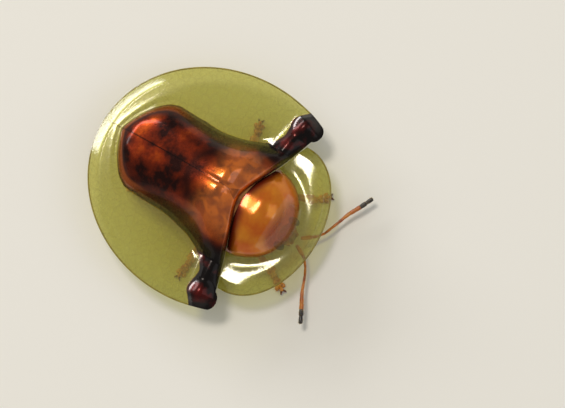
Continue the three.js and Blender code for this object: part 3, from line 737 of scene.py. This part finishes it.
def makeBeadTree():
    tree, given = newTree("rim_bead", [("Radius", "Float", 0.00005), ("Sides", "Int", 10)])
    line = addNode(tree, "GeometryNodeMeshToCurve", None, {0: given["Geometry"]})
    ring = addNode(tree, "GeometryNodeCurvePrimitiveCircle", None,
                   {"Resolution": given["Sides"], "Radius": given["Radius"]})
    bead = addNode(tree, "GeometryNodeCurveToMesh", None, {
        "Curve": line, "Profile Curve": ring, "Fill Caps": True})
    return endTree(tree, given, bead)


beadTree = makeBeadTree()


def addLine(name, points):
    mesh = bpy.data.meshes.new(name)
    mesh.from_pydata((np.asarray(points) * mm).tolist(), [(i, i + 1) for i in range(len(points) - 1)], [])
    line = bpy.data.objects.new(name, mesh)
    bpy.context.scene.collection.objects.link(line)
    return line


def addBead(name, height, x, s, nodes):
    # the bead lies just inside the rim and just under its upper side
    top, normals = lieOn(height, x, s)
    line = addLine(name, top - normals * rimBead["radius"])
    applyNodes(line, beadTree, {"Radius": rimBead["radius"] * mm, "Sides": rimBead["sides"],
                                "Material": rimCuticle}, nodes)


def addRims():
    inset = rimBead["radius"]
    gx, gs = wingCaseGrid()
    x, s = gx[:, -1], gs[:, -1]
    # inwards along the rim's own ellipse, then round the lobe
    out = np.stack([x, s - wingCase["toWidest"]], axis=-1)
    out /= np.linalg.norm(out, axis=-1, keepdims=True)
    for label, side in (("left", 1), ("right", -1)):
        addBead("wing_case_rim_" + label, coverHeight, side * (x - inset * out[:, 0]), s - inset * out[:, 1],
                ["elytron_" + label])
    turn = np.linspace(-0.5, 0.5, 161) * math.pi
    addBead("pronotum_rim", shieldHeight, (shield["halfWidth"] - inset) * np.sin(turn),
            shield["centre"] + (shield["length"] - inset) * np.cos(turn), ["pronotum"])


addRims()
print("rims made")


# Belly: rings of points from front to rear, the upper half under the shell, the lower half the keel
belly = {
    "low": 0.95, "sideLift": 0.25, "deck": 1.55, "inset": 0.88, "clearance": 0.42,
    "sides": 72, "squareness": 0.8, "bulge": 4,
}
abdomen = {
    # the first ring stands just inside the tip
    "tip": 1.62, "from": 1.621, "to": 5.3, "rings": 90, "sutures": [1.62, 2.45, 3.05, 3.65, 4.3, 5.3],
    "suture": 0.055, "sutureWidth": 0.05, "crown": 0.05,
    "tailLift": 0.15, "tipLift": 0.35, "tipLength": 0.16, "tipShare": 0.25, "widens": 3,
}
thorax = {
    "from": 5.32, "to": 8.5, "rings": 60, "share": 0.95, "frontLoss": 0.2, "narrowsFrom": 7.6,
    "furrow": 0.07, "furrowWidth": 0.07, "frontLift": 0.12, "liftsFrom": 7.4,
    # where the middle plate meets the hind one
    "step": 0.06, "stepAt": 6.75, "stepWidth": 0.05,
}
prothorax = {
    "from": 8.45, "to": 10.25, "rings": 40, "half": 1.5, "frontLoss": 0.45, "narrowsFrom": 9.2,
    "groove": 0.05, "grooveAt": 0.28, "grooveWidth": 0.06,
}


def loft(rings):
    # rings: array (count, sides, 3); gives points and faces, the ends closed at their middles
    count, sides, _ = rings.shape
    points = rings.reshape(-1, 3).tolist()
    faces = []
    for i in range(count - 1):
        for j in range(sides):
            k = (j + 1) % sides
            faces.append((i * sides + j, i * sides + k, (i + 1) * sides + k, (i + 1) * sides + j))
    for start, order in ((0, -1), ((count - 1) * sides, 1)):
        points.append(np.mean(points[start:start + sides], axis=0).tolist())
        middle = len(points) - 1
        for j in range(sides):
            k = (j + 1) % sides
            faces.append((middle, start + j, start + k)[::order])
    return points, faces


def joinParts(parts):
    points, faces = [], []
    for p, f in parts:
        start = len(points)
        points.extend(p)
        faces.extend(tuple(i + start for i in face) for face in f)
    return points, faces


def outward(name):
    # turns the faces of a closed piece outwards
    mesh = bpy.data.objects[name].data
    work = bmesh.new()
    work.from_mesh(mesh)
    bmesh.ops.remove_doubles(work, verts=work.verts, dist=1e-4 * mm)
    bmesh.ops.recalc_face_normals(work, faces=work.faces)
    work.to_mesh(mesh)
    work.free()


def addBellyPart(name, part, halfAt, topAt, groove):
    turn = np.linspace(0, 2 * math.pi, belly["sides"], endpoint=False)
    u = np.sign(np.cos(turn)) * np.abs(np.cos(turn)) ** belly["squareness"]
    bulge = np.sqrt(np.maximum(0, 1 - u ** belly["bulge"]))
    rings = []
    for s in np.linspace(part["from"], part["to"], part["rings"]):
        x = u * halfAt(s)
        low = belly["low"] + belly["sideLift"] * u * u + groove(s, x)
        high = topAt(x, np.full_like(x, s)) - belly["clearance"]
        middle = (low + np.minimum(high, belly["deck"])) / 2
        z = middle + bulge * np.where(np.sin(turn) >= 0, high - middle, low - middle)
        rings.append(np.stack([x, np.full_like(x, originS - s), z], axis=-1))
    addPiece(name + "_body", *loft(np.array(rings)), bellyCuticle, "body", [name])
    outward(name + "_body")


def addBelly():
    sutures = np.array(abdomen["sutures"])

    def discHalf(s):
        return belly["inset"] * float(domeHalf(np.array(s)))

    def abdomenHalf(s):
        return discHalf(s) * min(1, abdomen["tipShare"] + (s - abdomen["tip"]) * abdomen["widens"])

    def thoraxHalf(s):
        narrower = ease(thorax["narrowsFrom"], thorax["to"], s)
        return discHalf(s) * (thorax["share"] - thorax["frontLoss"] * narrower)

    def prothoraxHalf(s):
        return prothorax["half"] - prothorax["frontLoss"] * ease(prothorax["narrowsFrom"], prothorax["to"], s)

    def ventrites(s, x):
        # five belly plates, each a little crowned, with furrows between them
        plate = np.clip(np.searchsorted(sutures, s) - 1, 0, len(sutures) - 2)
        share = np.clip((s - sutures[plate]) / (sutures[plate + 1] - sutures[plate]), 0, 1)
        near = np.min(np.abs(sutures - s))
        tail = abdomen["tailLift"] * (abdomen["to"] - s) / (abdomen["to"] - abdomen["tip"])
        tip = abdomen["tipLift"] * np.exp(-(s - abdomen["tip"]) / abdomen["tipLength"])
        return (abdomen["suture"] * bell(near / abdomen["sutureWidth"]) + tail + tip
                - abdomen["crown"] * np.sin(math.pi * share))

    def sternum(s, x):
        step = thorax["step"] * bell((s - thorax["stepAt"]) / thorax["stepWidth"])
        lift = thorax["frontLift"] * ease(thorax["liftsFrom"], thorax["to"], s)
        return thorax["furrow"] * bell(x / thorax["furrowWidth"]) + step + lift

    def keel(s, x):
        return prothorax["groove"] * bell((np.abs(x) - prothorax["grooveAt"]) / prothorax["grooveWidth"])

    addBellyPart("abdomen", abdomen, abdomenHalf, elytraHeight, ventrites)
    addBellyPart("thorax", thorax, thoraxHalf, elytraHeight, sternum)
    addBellyPart("prothorax", prothorax, prothoraxHalf, shieldHeight, keel)


addBelly()
print("belly made")


# Legs: hip, knee, ankle and toe of each as (x, s, z)
legs = {
    "front_left": [(0.5, 9.3, 0.82), (1.7, 9.85, 0.9), (2.2, 10.95, 0.48), (2.95, 11.75, 0)],
    "front_right": [(-0.5, 9.3, 0.82), (-1.55, 9.95, 0.9), (-1.95, 11.15, 0.48), (-2.55, 12.25, 0)],
    "middle_left": [(0.75, 7.3, 0.82), (2.05, 7.1, 0.98), (3.25, 6.85, 0.48), (4.35, 6.55, 0)],
    "middle_right": [(-0.75, 7.3, 0.82), (-2.25, 7.5, 0.98), (-3.6, 7.4, 0.48), (-4.8, 7.3, 0)],
    "hind_left": [(0.6, 5.85, 0.82), (1.85, 5.0, 0.86), (2.15, 3.65, 0.48), (2.05, 2.45, 0)],
    "hind_right": [(-0.6, 5.85, 0.82), (-1.85, 5.0, 0.86), (-2.15, 3.65, 0.48), (-2.05, 2.45, 0)],
}
legShape = {
    "sides": 28, "coxa": 0.3, "bow": 0.04,
    # share of the length, half width and half height in mm
    "femur": [(0, 0.16, 0.16), (0.1, 0.2, 0.2), (0.18, 0.17, 0.17), (0.35, 0.27, 0.24), (0.6, 0.31, 0.26),
              (0.85, 0.25, 0.22), (0.96, 0.2, 0.18), (1.0, 0.12, 0.12)],
    "tibia": [(0, 0.1, 0.1), (0.08, 0.13, 0.13), (0.3, 0.15, 0.15), (0.6, 0.19, 0.17), (0.85, 0.24, 0.2),
              (0.96, 0.26, 0.21), (1.0, 0.2, 0.16)],
}
foot = {
    # start and end as shares of the foot's length, half width, height in mm, depth of the notch
    "pads": [(0.0, 0.33, 0.2, 0.34, 0.1), (0.24, 0.56, 0.25, 0.31, 0.18), (0.46, 0.84, 0.33, 0.25, 0.55)],
    "notchWidth": 0.5, "rootShare": 0.82, "spread": 0.25, "low": 0.06, "crown": 0.8, "crownLoss": 0.2,
    # share of the pad's outline, height in mm
    "sole": [(1.0, 0.03), (0.96, 0.008), (0.9, 0.0), (0.5, 0.0), (0.04, 0.0)],
    "stalk": [(0, 0.12, 0.12), (0.4, 0.14, 0.13), (1.0, 0.17, 0.14)], "stalkEnd": (0.15, 0.17),
    # share of the length, height, half width and half height in mm
    "clawJoint": [(0.56, 0.1, 0.04, 0.04), (0.66, 0.2, 0.07, 0.06), (0.76, 0.21, 0.08, 0.07),
                  (0.85, 0.17, 0.1, 0.08), (0.89, 0.14, 0.05, 0.04)],
    # share of the length, distance aside, height, radius in mm
    "claw": [(0.86, 0.03, 0.15, 0.05), (0.9, 0.08, 0.17, 0.055), (0.95, 0.13, 0.13, 0.04),
             (0.985, 0.15, 0.07, 0.025), (1.0, 0.145, 0.015, 0.006)],
    "sides": 40, "rings": 9, "stalkSides": 20, "jointSides": 16, "clawSides": 12,
}


def inFrame(point):
    x, s, z = point
    return np.array([x, originS - s, z])


def sweep(path, radii, sides):
    # a limb along a path of points, with the half width and half height at each
    path = np.asarray(path, float)
    ways = np.gradient(path, axis=0)
    ways /= np.linalg.norm(ways, axis=1, keepdims=True)
    across = np.cross(ways, [0, 0, 1.0])
    across /= np.linalg.norm(across, axis=1, keepdims=True)
    up = np.cross(across, ways)
    turn = np.linspace(0, 2 * math.pi, sides, endpoint=False)
    rings = (path[:, None] + across[:, None] * np.cos(turn)[None, :, None] * radii[:, 0, None, None]
             + up[:, None] * np.sin(turn)[None, :, None] * radii[:, 1, None, None])
    return loft(rings)


def limb(start, end, profile, sides, bow=0.0):
    table = np.array(profile)
    shares = (1 - np.cos(np.linspace(0, math.pi, 34))) / 2
    radii = np.stack([np.interp(shares, table[:, 0], table[:, k]) for k in (1, 2)], axis=-1)
    # rounded off at both ends
    cap = np.sqrt(np.clip(1 - (np.abs(2 * shares - 1) ** 24), 0.0004, 1))
    radii *= cap[:, None]
    path = start + (end - start) * shares[:, None]
    path[:, 2] += bow * np.sin(math.pi * shares)
    return sweep(path, radii, sides)


def pad(origin, way, side, start, end, halfWidth, tall, notch):
    # a flat-soled cushion, narrower at its root and notched at its far end
    turn = np.linspace(0, 2 * math.pi, foot["sides"], endpoint=False)
    shape = 1 - notch * bell(((turn + math.pi) % (2 * math.pi) - math.pi) / foot["notchWidth"])
    along = np.cos(turn) * (end - start) / 2 * shape
    wide = np.sin(turn) * halfWidth * (foot["rootShare"] + foot["spread"] * np.cos(turn)) * shape ** 0.3
    crown = (tall - foot["low"]) * (foot["crown"] - foot["crownLoss"] * np.cos(turn))
    rings = [(share, foot["low"] + crown * math.sqrt(max(0, 1 - share ** 3)))
             for share in np.linspace(0.04, 1, foot["rings"])]
    rings += [(share, np.full_like(turn, height)) for share, height in foot["sole"]]
    middle = origin + way * (start + end) / 2
    points = []
    for share, z in rings:
        flat = middle + way * (along * share)[:, None] + side * (wide * share)[:, None]
        points.append(np.stack([flat[:, 0], flat[:, 1], z], axis=-1))
    return loft(np.array(points))


def footParts(ankle, toe):
    span = np.array([toe[0] - ankle[0], toe[1] - ankle[1], 0.0])
    length = np.linalg.norm(span)
    side = np.cross([0, 0, 1.0], span / length)
    origin = np.array([ankle[0], ankle[1], 0.0])

    def spot(share, aside, height):
        return origin + span * share + side * aside + np.array([0, 0, height])

    parts = [pad(origin, span / length, side, start * length, end * length, *row)
             for start, end, *row in foot["pads"]]
    # the foot's root, bent down from the shin
    end, height = foot["stalkEnd"]
    parts.append(limb(ankle, spot(end, 0, height), foot["stalk"], foot["stalkSides"]))
    # the thin claw joint rises from the notch of the last pad
    parts.append(sweep([spot(share, 0, z) for share, z, *_ in foot["clawJoint"]],
                       np.array([row[2:] for row in foot["clawJoint"]]), foot["jointSides"]))
    thickness = np.array([(row[3], row[3]) for row in foot["claw"]])
    claws = [sweep([spot(share, hand * aside, z) for share, aside, z, _ in foot["claw"]],
                   thickness, foot["clawSides"]) for hand in (1, -1)]
    return parts, claws


def ball(centre, half, sides=24, rings=16):
    turn = np.linspace(0, math.pi, rings)
    around = np.linspace(0, 2 * math.pi, sides, endpoint=False)
    points = np.stack([
        np.sin(turn)[1:-1, None] * np.cos(around)[None] * half[0] + centre[0],
        np.sin(turn)[1:-1, None] * np.sin(around)[None] * half[1] + centre[1],
        np.cos(turn)[1:-1, None] * np.ones_like(around)[None] * half[2] + centre[2]], axis=-1)
    return loft(points)


def addLegs():
    for name, joints in legs.items():
        hip, knee, ankle, toe = [inFrame(p) for p in joints]
        node = "leg_" + name
        coxa = ball(hip, [legShape["coxa"]] * 3)
        femur = limb(hip, knee + (knee - hip) * 0.04, legShape["femur"], legShape["sides"])
        addPiece(node + "_thigh", *joinParts([coxa, femur]), legCuticle, "leg", [node + "_femur"])
        reach = (ankle - knee) / np.linalg.norm(ankle - knee)
        tibia = limb(knee - reach * 0.05, ankle + reach * 0.12, legShape["tibia"], legShape["sides"],
                     legShape["bow"])
        addPiece(node + "_shin", *tibia, legCuticle, "leg", [node + "_tibia"])
        pads, claws = footParts(ankle, toe)
        addPiece(node + "_foot", *joinParts(pads), legCuticle, "leg", [node + "_tarsus"])
        addPiece(node + "_claws", *joinParts(claws), clawCuticle, "leg", [node + "_tarsus"])
        for part in ("_thigh", "_shin", "_foot", "_claws"):
            outward(node + part)


addLegs()
print("legs made")


# Feelers: eleven joints each, threaded on a path of (x, s, z)
feelers = {
    "left": [(0.22, 11.55, 0.78), (0.85, 12.25, 0.5), (1.35, 12.48, 0.5), (2.15, 12.76, 0.52),
             (2.42, 12.83, 0.53), (3.1, 13.17, 0.58), (3.85, 13.5, 0.62)],
    "right": [(-0.22, 11.55, 0.78), (-0.55, 12.2, 0.5), (-1.1, 12.6, 0.5), (-1.85, 12.93, 0.52),
              (-2.1, 13.04, 0.53), (-2.8, 13.45, 0.58), (-3.45, 13.8, 0.62)],
}
feelerJoints = {
    "lengths": [0.5, 0.24, 0.42, 0.4, 0.38, 0.38, 0.3, 0.3, 0.3, 0.3, 0.42],
    "widths": [0.25, 0.19, 0.15, 0.155, 0.165, 0.18, 0.22, 0.25, 0.27, 0.28, 0.25],
    "overlap": 0.045, "sides": 24, "rings": 16,
    # first and last joint, material, slot and node of each part
    "parts": {"shaft": (0, 6, feelerCuticle, "feeler", "base"),
              "club": (6, 9, feelerCuticle, "feeler_club", "club"),
              "tip": (9, 11, clubCuticle, "feeler_club", "club")},
}


def makeJointTree():
    # one joint at each point, turned along the feeler: narrow at its root, swollen before its far end
    tree, given = newTree("feeler_joints", [
        ("Sides", "Int", 24), ("Rings", "Int", 16), ("Flare", "Float", 0.1)])
    bead = addNode(tree, "GeometryNodeMeshUVSphere", None,
                   {"Segments": given["Sides"], "Rings": given["Rings"], "Radius": 0.5})
    place = addNode(tree, "GeometryNodeInputPosition")
    axes = addNode(tree, "ShaderNodeSeparateXYZ", None, {0: place}).node.outputs
    # wider away from the joint's middle, which squares off the round bead
    height = addNode(tree, "ShaderNodeMath", times, {0: axes["Z"], 1: 2.0})
    steep = addNode(tree, "ShaderNodeMath", {"operation": "ABSOLUTE"}, {0: height})
    power = addNode(tree, "ShaderNodeMath", {"operation": "POWER"}, {0: steep, 1: 4.0})
    swell = addNode(tree, "ShaderNodeMath", timesPlus, {0: power, 1: 1.0, 2: 0.86})
    flare = addNode(tree, "ShaderNodeMath", timesPlus, {0: height, 1: given["Flare"], 2: swell})
    across = addNode(tree, "ShaderNodeCombineXYZ", None, {0: flare, 1: flare, 2: 1.0})
    shaped = addNode(tree, "ShaderNodeVectorMath", times, {0: place, 1: across})
    joint = addNode(tree, "GeometryNodeSetPosition", None, {"Geometry": bead, "Position": shaped})
    way = addNode(tree, "GeometryNodeInputNamedAttribute", {"data_type": "FLOAT_VECTOR"}, {"Name": "way"})
    size = addNode(tree, "GeometryNodeInputNamedAttribute", {"data_type": "FLOAT_VECTOR"}, {"Name": "size"})
    turned = addNode(tree, "FunctionNodeAlignRotationToVector", {"axis": "Z"}, {"Vector": way})
    beads = addNode(tree, "GeometryNodeInstanceOnPoints", None,
                    {"Points": given["Geometry"], "Instance": joint, "Rotation": turned, "Scale": size})
    return endTree(tree, given, beads)


def alongPath(points):
    # the smooth line through the points, as a function that gives the point at a share of its length
    p = np.array([inFrame(q) for q in points])
    p = np.concatenate([[2 * p[0] - p[1]], p, [2 * p[-1] - p[-2]]])
    line = []
    for a, b, c, d in zip(p, p[1:], p[2:], p[3:]):
        t = np.linspace(0, 1, 24, endpoint=False)[:, None]
        line.append(0.5 * (2 * b + (c - a) * t + (2 * a - 5 * b + 4 * c - d) * t ** 2
                           + (3 * b - a - 3 * c + d) * t ** 3))
    line = np.concatenate(line + [[p[-2]]])
    far = np.concatenate([[0], np.cumsum(np.linalg.norm(np.diff(line, axis=0), axis=1))])
    return lambda share: np.stack(
        [np.interp(np.asarray(share) * far[-1], far, line[:, k]) for k in range(3)], axis=-1)


jointTree = makeJointTree()


def addFeelers():
    lengths = np.array(feelerJoints["lengths"])
    ends = np.concatenate([[0], np.cumsum(lengths)]) / lengths.sum()
    for label, path in feelers.items():
        on = alongPath(path)
        starts, stops = on(ends[:-1]), on(ends[1:])
        middles = (starts + stops) / 2
        ways = (stops - starts) / np.linalg.norm(stops - starts, axis=1, keepdims=True)
        spans = np.linalg.norm(stops - starts, axis=1) + 2 * feelerJoints["overlap"]
        spans[-1] -= 2 * feelerJoints["overlap"]
        wide = np.array(feelerJoints["widths"])
        sizes = np.stack([wide, wide, spans], axis=-1) * mm
        for part, (first, last, material, slot, node) in feelerJoints["parts"].items():
            line = addLine(f"feeler_{part}_{label}", middles[first:last])
            for key, vectors in (("way", ways), ("size", sizes)):
                layer = line.data.attributes.new(key, "FLOAT_VECTOR", "POINT")
                layer.data.foreach_set("vector", vectors[first:last].astype(np.float32).ravel())
            values = {"Sides": feelerJoints["sides"], "Rings": feelerJoints["rings"], "Material": material}
            applyNodes(line, jointTree, values, [f"antenna_{label}_{node}"])


addFeelers()
print("feelers made")


# Eyes: closely packed facets on an egg shape
eyes = {
    "x": 0.72, "s": 10.8, "z": 0.95, "half": (0.21, 0.29, 0.31),
    "level": 5, "shrink": 0.84, "bulge": 0.02,
}


def makeEyeTree():
    tree, given = newTree("eye_facets", [
        ("Level", "Int", 5), ("Bulge", "Float", 0.02), ("Facet", "Float", 0.84),
        ("Half size", "Vector", (1, 1, 1)), ("Place", "Vector", (0, 0, 0))])
    globe = addNode(tree, "GeometryNodeMeshIcoSphere", None, {"Radius": 1.0, "Subdivisions": given["Level"]})
    hexes = addNode(tree, "GeometryNodeDualMesh", None, {0: globe})
    raised = addNode(tree, "GeometryNodeExtrudeMesh", {"mode": "FACES"},
                     {"Mesh": hexes, "Offset Scale": given["Bulge"], "Individual": True}).node.outputs
    facet = addNode(tree, "GeometryNodeScaleElements", None,
                    {"Geometry": raised["Mesh"], "Selection": raised["Top"], "Scale": given["Facet"]})
    sized = addNode(tree, "GeometryNodeTransform", None,
                    {"Geometry": facet, "Scale": given["Half size"], "Translation": given["Place"]})
    return endTree(tree, given, sized)


eyeTree = makeEyeTree()


def addEyes():
    for label, side in (("left", 1), ("right", -1)):
        seed = addLine("eye_" + label + "_facets", [(0, 0, 0), (0, 0, 1)])
        applyNodes(seed, eyeTree, {
            "Level": eyes["level"], "Bulge": eyes["bulge"], "Facet": eyes["shrink"],
            "Half size": [h * mm for h in eyes["half"]], "Place": at(side * eyes["x"], eyes["s"], eyes["z"]),
            "Material": eyeCuticle}, ["eye_" + label])


addEyes()

# Head: skull, brow ridges, face plate, upper lip, jaws and the jointed palps beside them
head = {
    "s": 10.85, "z": 0.86, "half": (0.6, 0.42, 0.48), "relief": 0.05,
    # in shares of the half width
    "furrow": 0.09, "browAt": 0.62, "brow": 0.1,
    "parts": [
        # x, s, z, half sizes; those off the middle are on both sides
        (0, 11.17, 0.66, (0.3, 0.14, 0.22)),
        (0, 11.1, 0.42, (0.22, 0.14, 0.12)),
        (0.17, 11.0, 0.34, (0.14, 0.16, 0.12)),
        (0.34, 10.98, 0.36, (0.07, 0.12, 0.07)),
        (0.38, 11.08, 0.3, (0.06, 0.1, 0.06)),
        (0.36, 11.16, 0.24, (0.05, 0.09, 0.05)),
        (0, 10.82, 0.36, (0.2, 0.2, 0.08)),
        (0.22, 11.24, 0.86, (0.13, 0.12, 0.13)),
    ],
}


def addHead():
    centre = inFrame((0, head["s"], head["z"]))
    points, faces = ball(centre, head["half"], 64, 44)
    points = np.array(points)
    local = (points - centre) / np.array(head["half"])
    # a furrow down the forehead, and a ridge over each eye
    front = np.clip(-local[:, 1], 0, 1)
    furrow = bell(local[:, 0] / head["furrow"]) * ease(-0.2, 0.5, local[:, 2])
    brow = bell((np.abs(local[:, 0]) - head["browAt"]) / head["brow"])
    points[:, 1] += head["relief"] * front * (furrow - brow)
    parts = [(points.tolist(), faces)]
    for x, s, z, half in head["parts"]:
        for side in ((1, -1) if x else (1,)):
            parts.append(ball(inFrame((side * x, s, z)), half, 28, 18))
    addPiece("head_and_mouth", *joinParts(parts), headCuticle, "body", ["head"])
    outward("head_and_mouth")


addHead()
print("head and eyes made")


# Short hairs on the soles' edges, the shins' ends and the feelers' clubs
hairs = {"length": 0.11, "clubLength": 0.066, "thick": 0.007, "perFoot": 130, "perShin": 60, "perJoints": 110}


def makeHairTree():
    tree, given = newTree("short_hairs", [
        ("Density", "Float", 1.0), ("Length", "Float", 0.0001), ("Thickness", "Float", 0.000008),
        ("Seed", "Int", 3)])
    spread = addNode(tree, "GeometryNodeDistributePointsOnFaces", None, {
        "Mesh": given["Geometry"], "Density": given["Density"], "Seed": given["Seed"]}).node.outputs
    hair = addNode(tree, "GeometryNodeMeshCone", {"fill_type": "NGON"},
                   {"Vertices": 4, "Side Segments": 2, "Radius Top": 0.0, "Radius Bottom": given["Thickness"],
                    "Depth": given["Length"]})
    lean = addNode(tree, "FunctionNodeRandomValue", {"data_type": "FLOAT_VECTOR"},
                   {0: (-0.5, -0.5, -0.5), 1: (0.5, 0.5, 0.5), "Seed": given["Seed"]})
    leaning = addNode(tree, "FunctionNodeRotateRotation", None, {0: spread["Rotation"], 1: lean})
    size = addNode(tree, "FunctionNodeRandomValue", {"data_type": "FLOAT"},
                   {2: 0.6, 3: 1.2, "Seed": given["Seed"]}, out=1)
    coat = addNode(tree, "GeometryNodeInstanceOnPoints", None,
                   {"Points": spread["Points"], "Instance": hair, "Rotation": leaning, "Scale": size})
    return endTree(tree, given, coat, smooth=False)


hairTree = makeHairTree()


def addHairs(source, name, count, length, seed, node):
    mesh = bpy.data.objects[source].data.copy()
    skin = bpy.data.objects.new(name, mesh)
    bpy.context.scene.collection.objects.link(skin)
    area = sum(face.area for face in mesh.polygons)
    coat = applyNodes(skin, hairTree, {
        "Density": count / area, "Length": length * mm, "Thickness": hairs["thick"] * mm,
        "Seed": seed, "Material": hairMaterial}, [node])
    # hairs of the soles are pressed flat by the ground
    for point in coat.data.vertices:
        point.co.z = max(point.co.z, 0.0)


def addAllHairs():
    for seed, name in enumerate(legs):
        for part, count, offset, node in (("foot", hairs["perFoot"], 1, "tarsus"),
                                          ("shin", hairs["perShin"], 11, "tibia")):
            source = f"leg_{name}_{part}"
            addHairs(source, source + "_hairs", count, hairs["length"], seed + offset,
                     f"leg_{name}_{node}")
    for seed, label in enumerate(feelers):
        for part in ("club", "tip"):
            addHairs(f"feeler_{part}_{label}", f"feeler_{part}_hairs_{label}", hairs["perJoints"],
                     hairs["clubLength"], seed + 21, f"antenna_{label}_club")


addAllHairs()
print("hairs made")


# Camera, floor and light. Right and up are the picture's axes on the floor.
pictureRight = Vector((0.5344, -0.8453, 0))
pictureUp = Vector((0.8453, 0.5344, 0))
view = {"tilt": math.radians(8), "distance": 179.5 * mm, "aim": at(1.09, 9.87, 1.5), "lens": 228.7}
studio = {"sky": "#f2f1ec", "skyStrength": 0.42, "floor": "#f0eee7", "floorRoughness": 0.85, "reach": 1.2}
lamps = [
    # name, right, up, height in mm, width and depth in mm, watts, colour
    ("key_softbox", -145, 175, 450, 150, 95, 0.95, "#fff6ea"),
    ("rim_strip", -326, 343, 161, 420, 85, 1.3, "#ffffff"),
    ("side_softbox", 420, -60, 330, 300, 300, 0.25, "#f4f8ff"),
]


def addStudio():
    back = math.cos(view["tilt"]) * Vector((0, 0, 1)) - math.sin(view["tilt"]) * pictureUp
    camera = bpy.data.objects.new("camera", bpy.data.cameras.new("camera"))
    camera.data.lens = view["lens"]
    camera.data.sensor_width = 36
    camera.data.clip_start = 0.001
    camera.matrix_world = Matrix.Translation(view["aim"] + view["distance"] * back) @ Matrix(
        (pictureRight, back.cross(pictureRight), back)).transposed().to_4x4()
    bpy.context.scene.collection.objects.link(camera)
    bpy.context.scene.camera = camera
    for name, right, up, height, width, depth, watts, colour in lamps:
        lamp = bpy.data.lights.new(name, "AREA")
        lamp.shape = "RECTANGLE"
        lamp.size = width * mm
        lamp.size_y = depth * mm
        lamp.energy = watts
        lamp.color = toLinear(colour)[:3]
        place = bpy.data.objects.new(name, lamp)
        spot = (right * pictureRight + up * pictureUp + Vector((0, 0, height))) * mm
        away = spot.normalized()
        level = Vector((0, 0, 1)).cross(away).normalized()
        place.matrix_world = Matrix.Translation(spot) @ Matrix(
            (level, away.cross(level), away)).transposed().to_4x4()
        bpy.context.scene.collection.objects.link(place)
    world = bpy.data.worlds.new("studio")
    world.use_nodes = True
    world.node_tree.nodes.clear()
    paintedHighlight = addNode(world.node_tree, "ShaderNodeBackground", None, {
        "Color": studio["sky"], "Strength": studio["skyStrength"]})
    addNode(world.node_tree, "ShaderNodeOutputWorld", None, {"Surface": paintedHighlight})
    bpy.context.scene.world = world
    bpy.context.scene.view_settings.view_transform = "Standard"
    # matt paper, on which the olive light through the margins shows
    material, tree = newMaterial("pale_paper_floor")
    surface = addNode(tree, "ShaderNodeBsdfPrincipled", None, {
        "Base Color": studio["floor"], "Roughness": studio["floorRoughness"]})
    addNode(tree, "ShaderNodeOutputMaterial", None, {"Surface": surface})
    mesh = bpy.data.meshes.new("floor")
    reach = studio["reach"]
    mesh.from_pydata([(-reach, -reach, 0), (reach, -reach, 0), (reach, reach, 0), (-reach, reach, 0)],
                     [], [(0, 1, 2, 3)])
    mesh.materials.append(material)
    floor = bpy.data.objects.new("floor", mesh)
    bpy.context.scene.collection.objects.link(floor)


addStudio()
print("studio made")
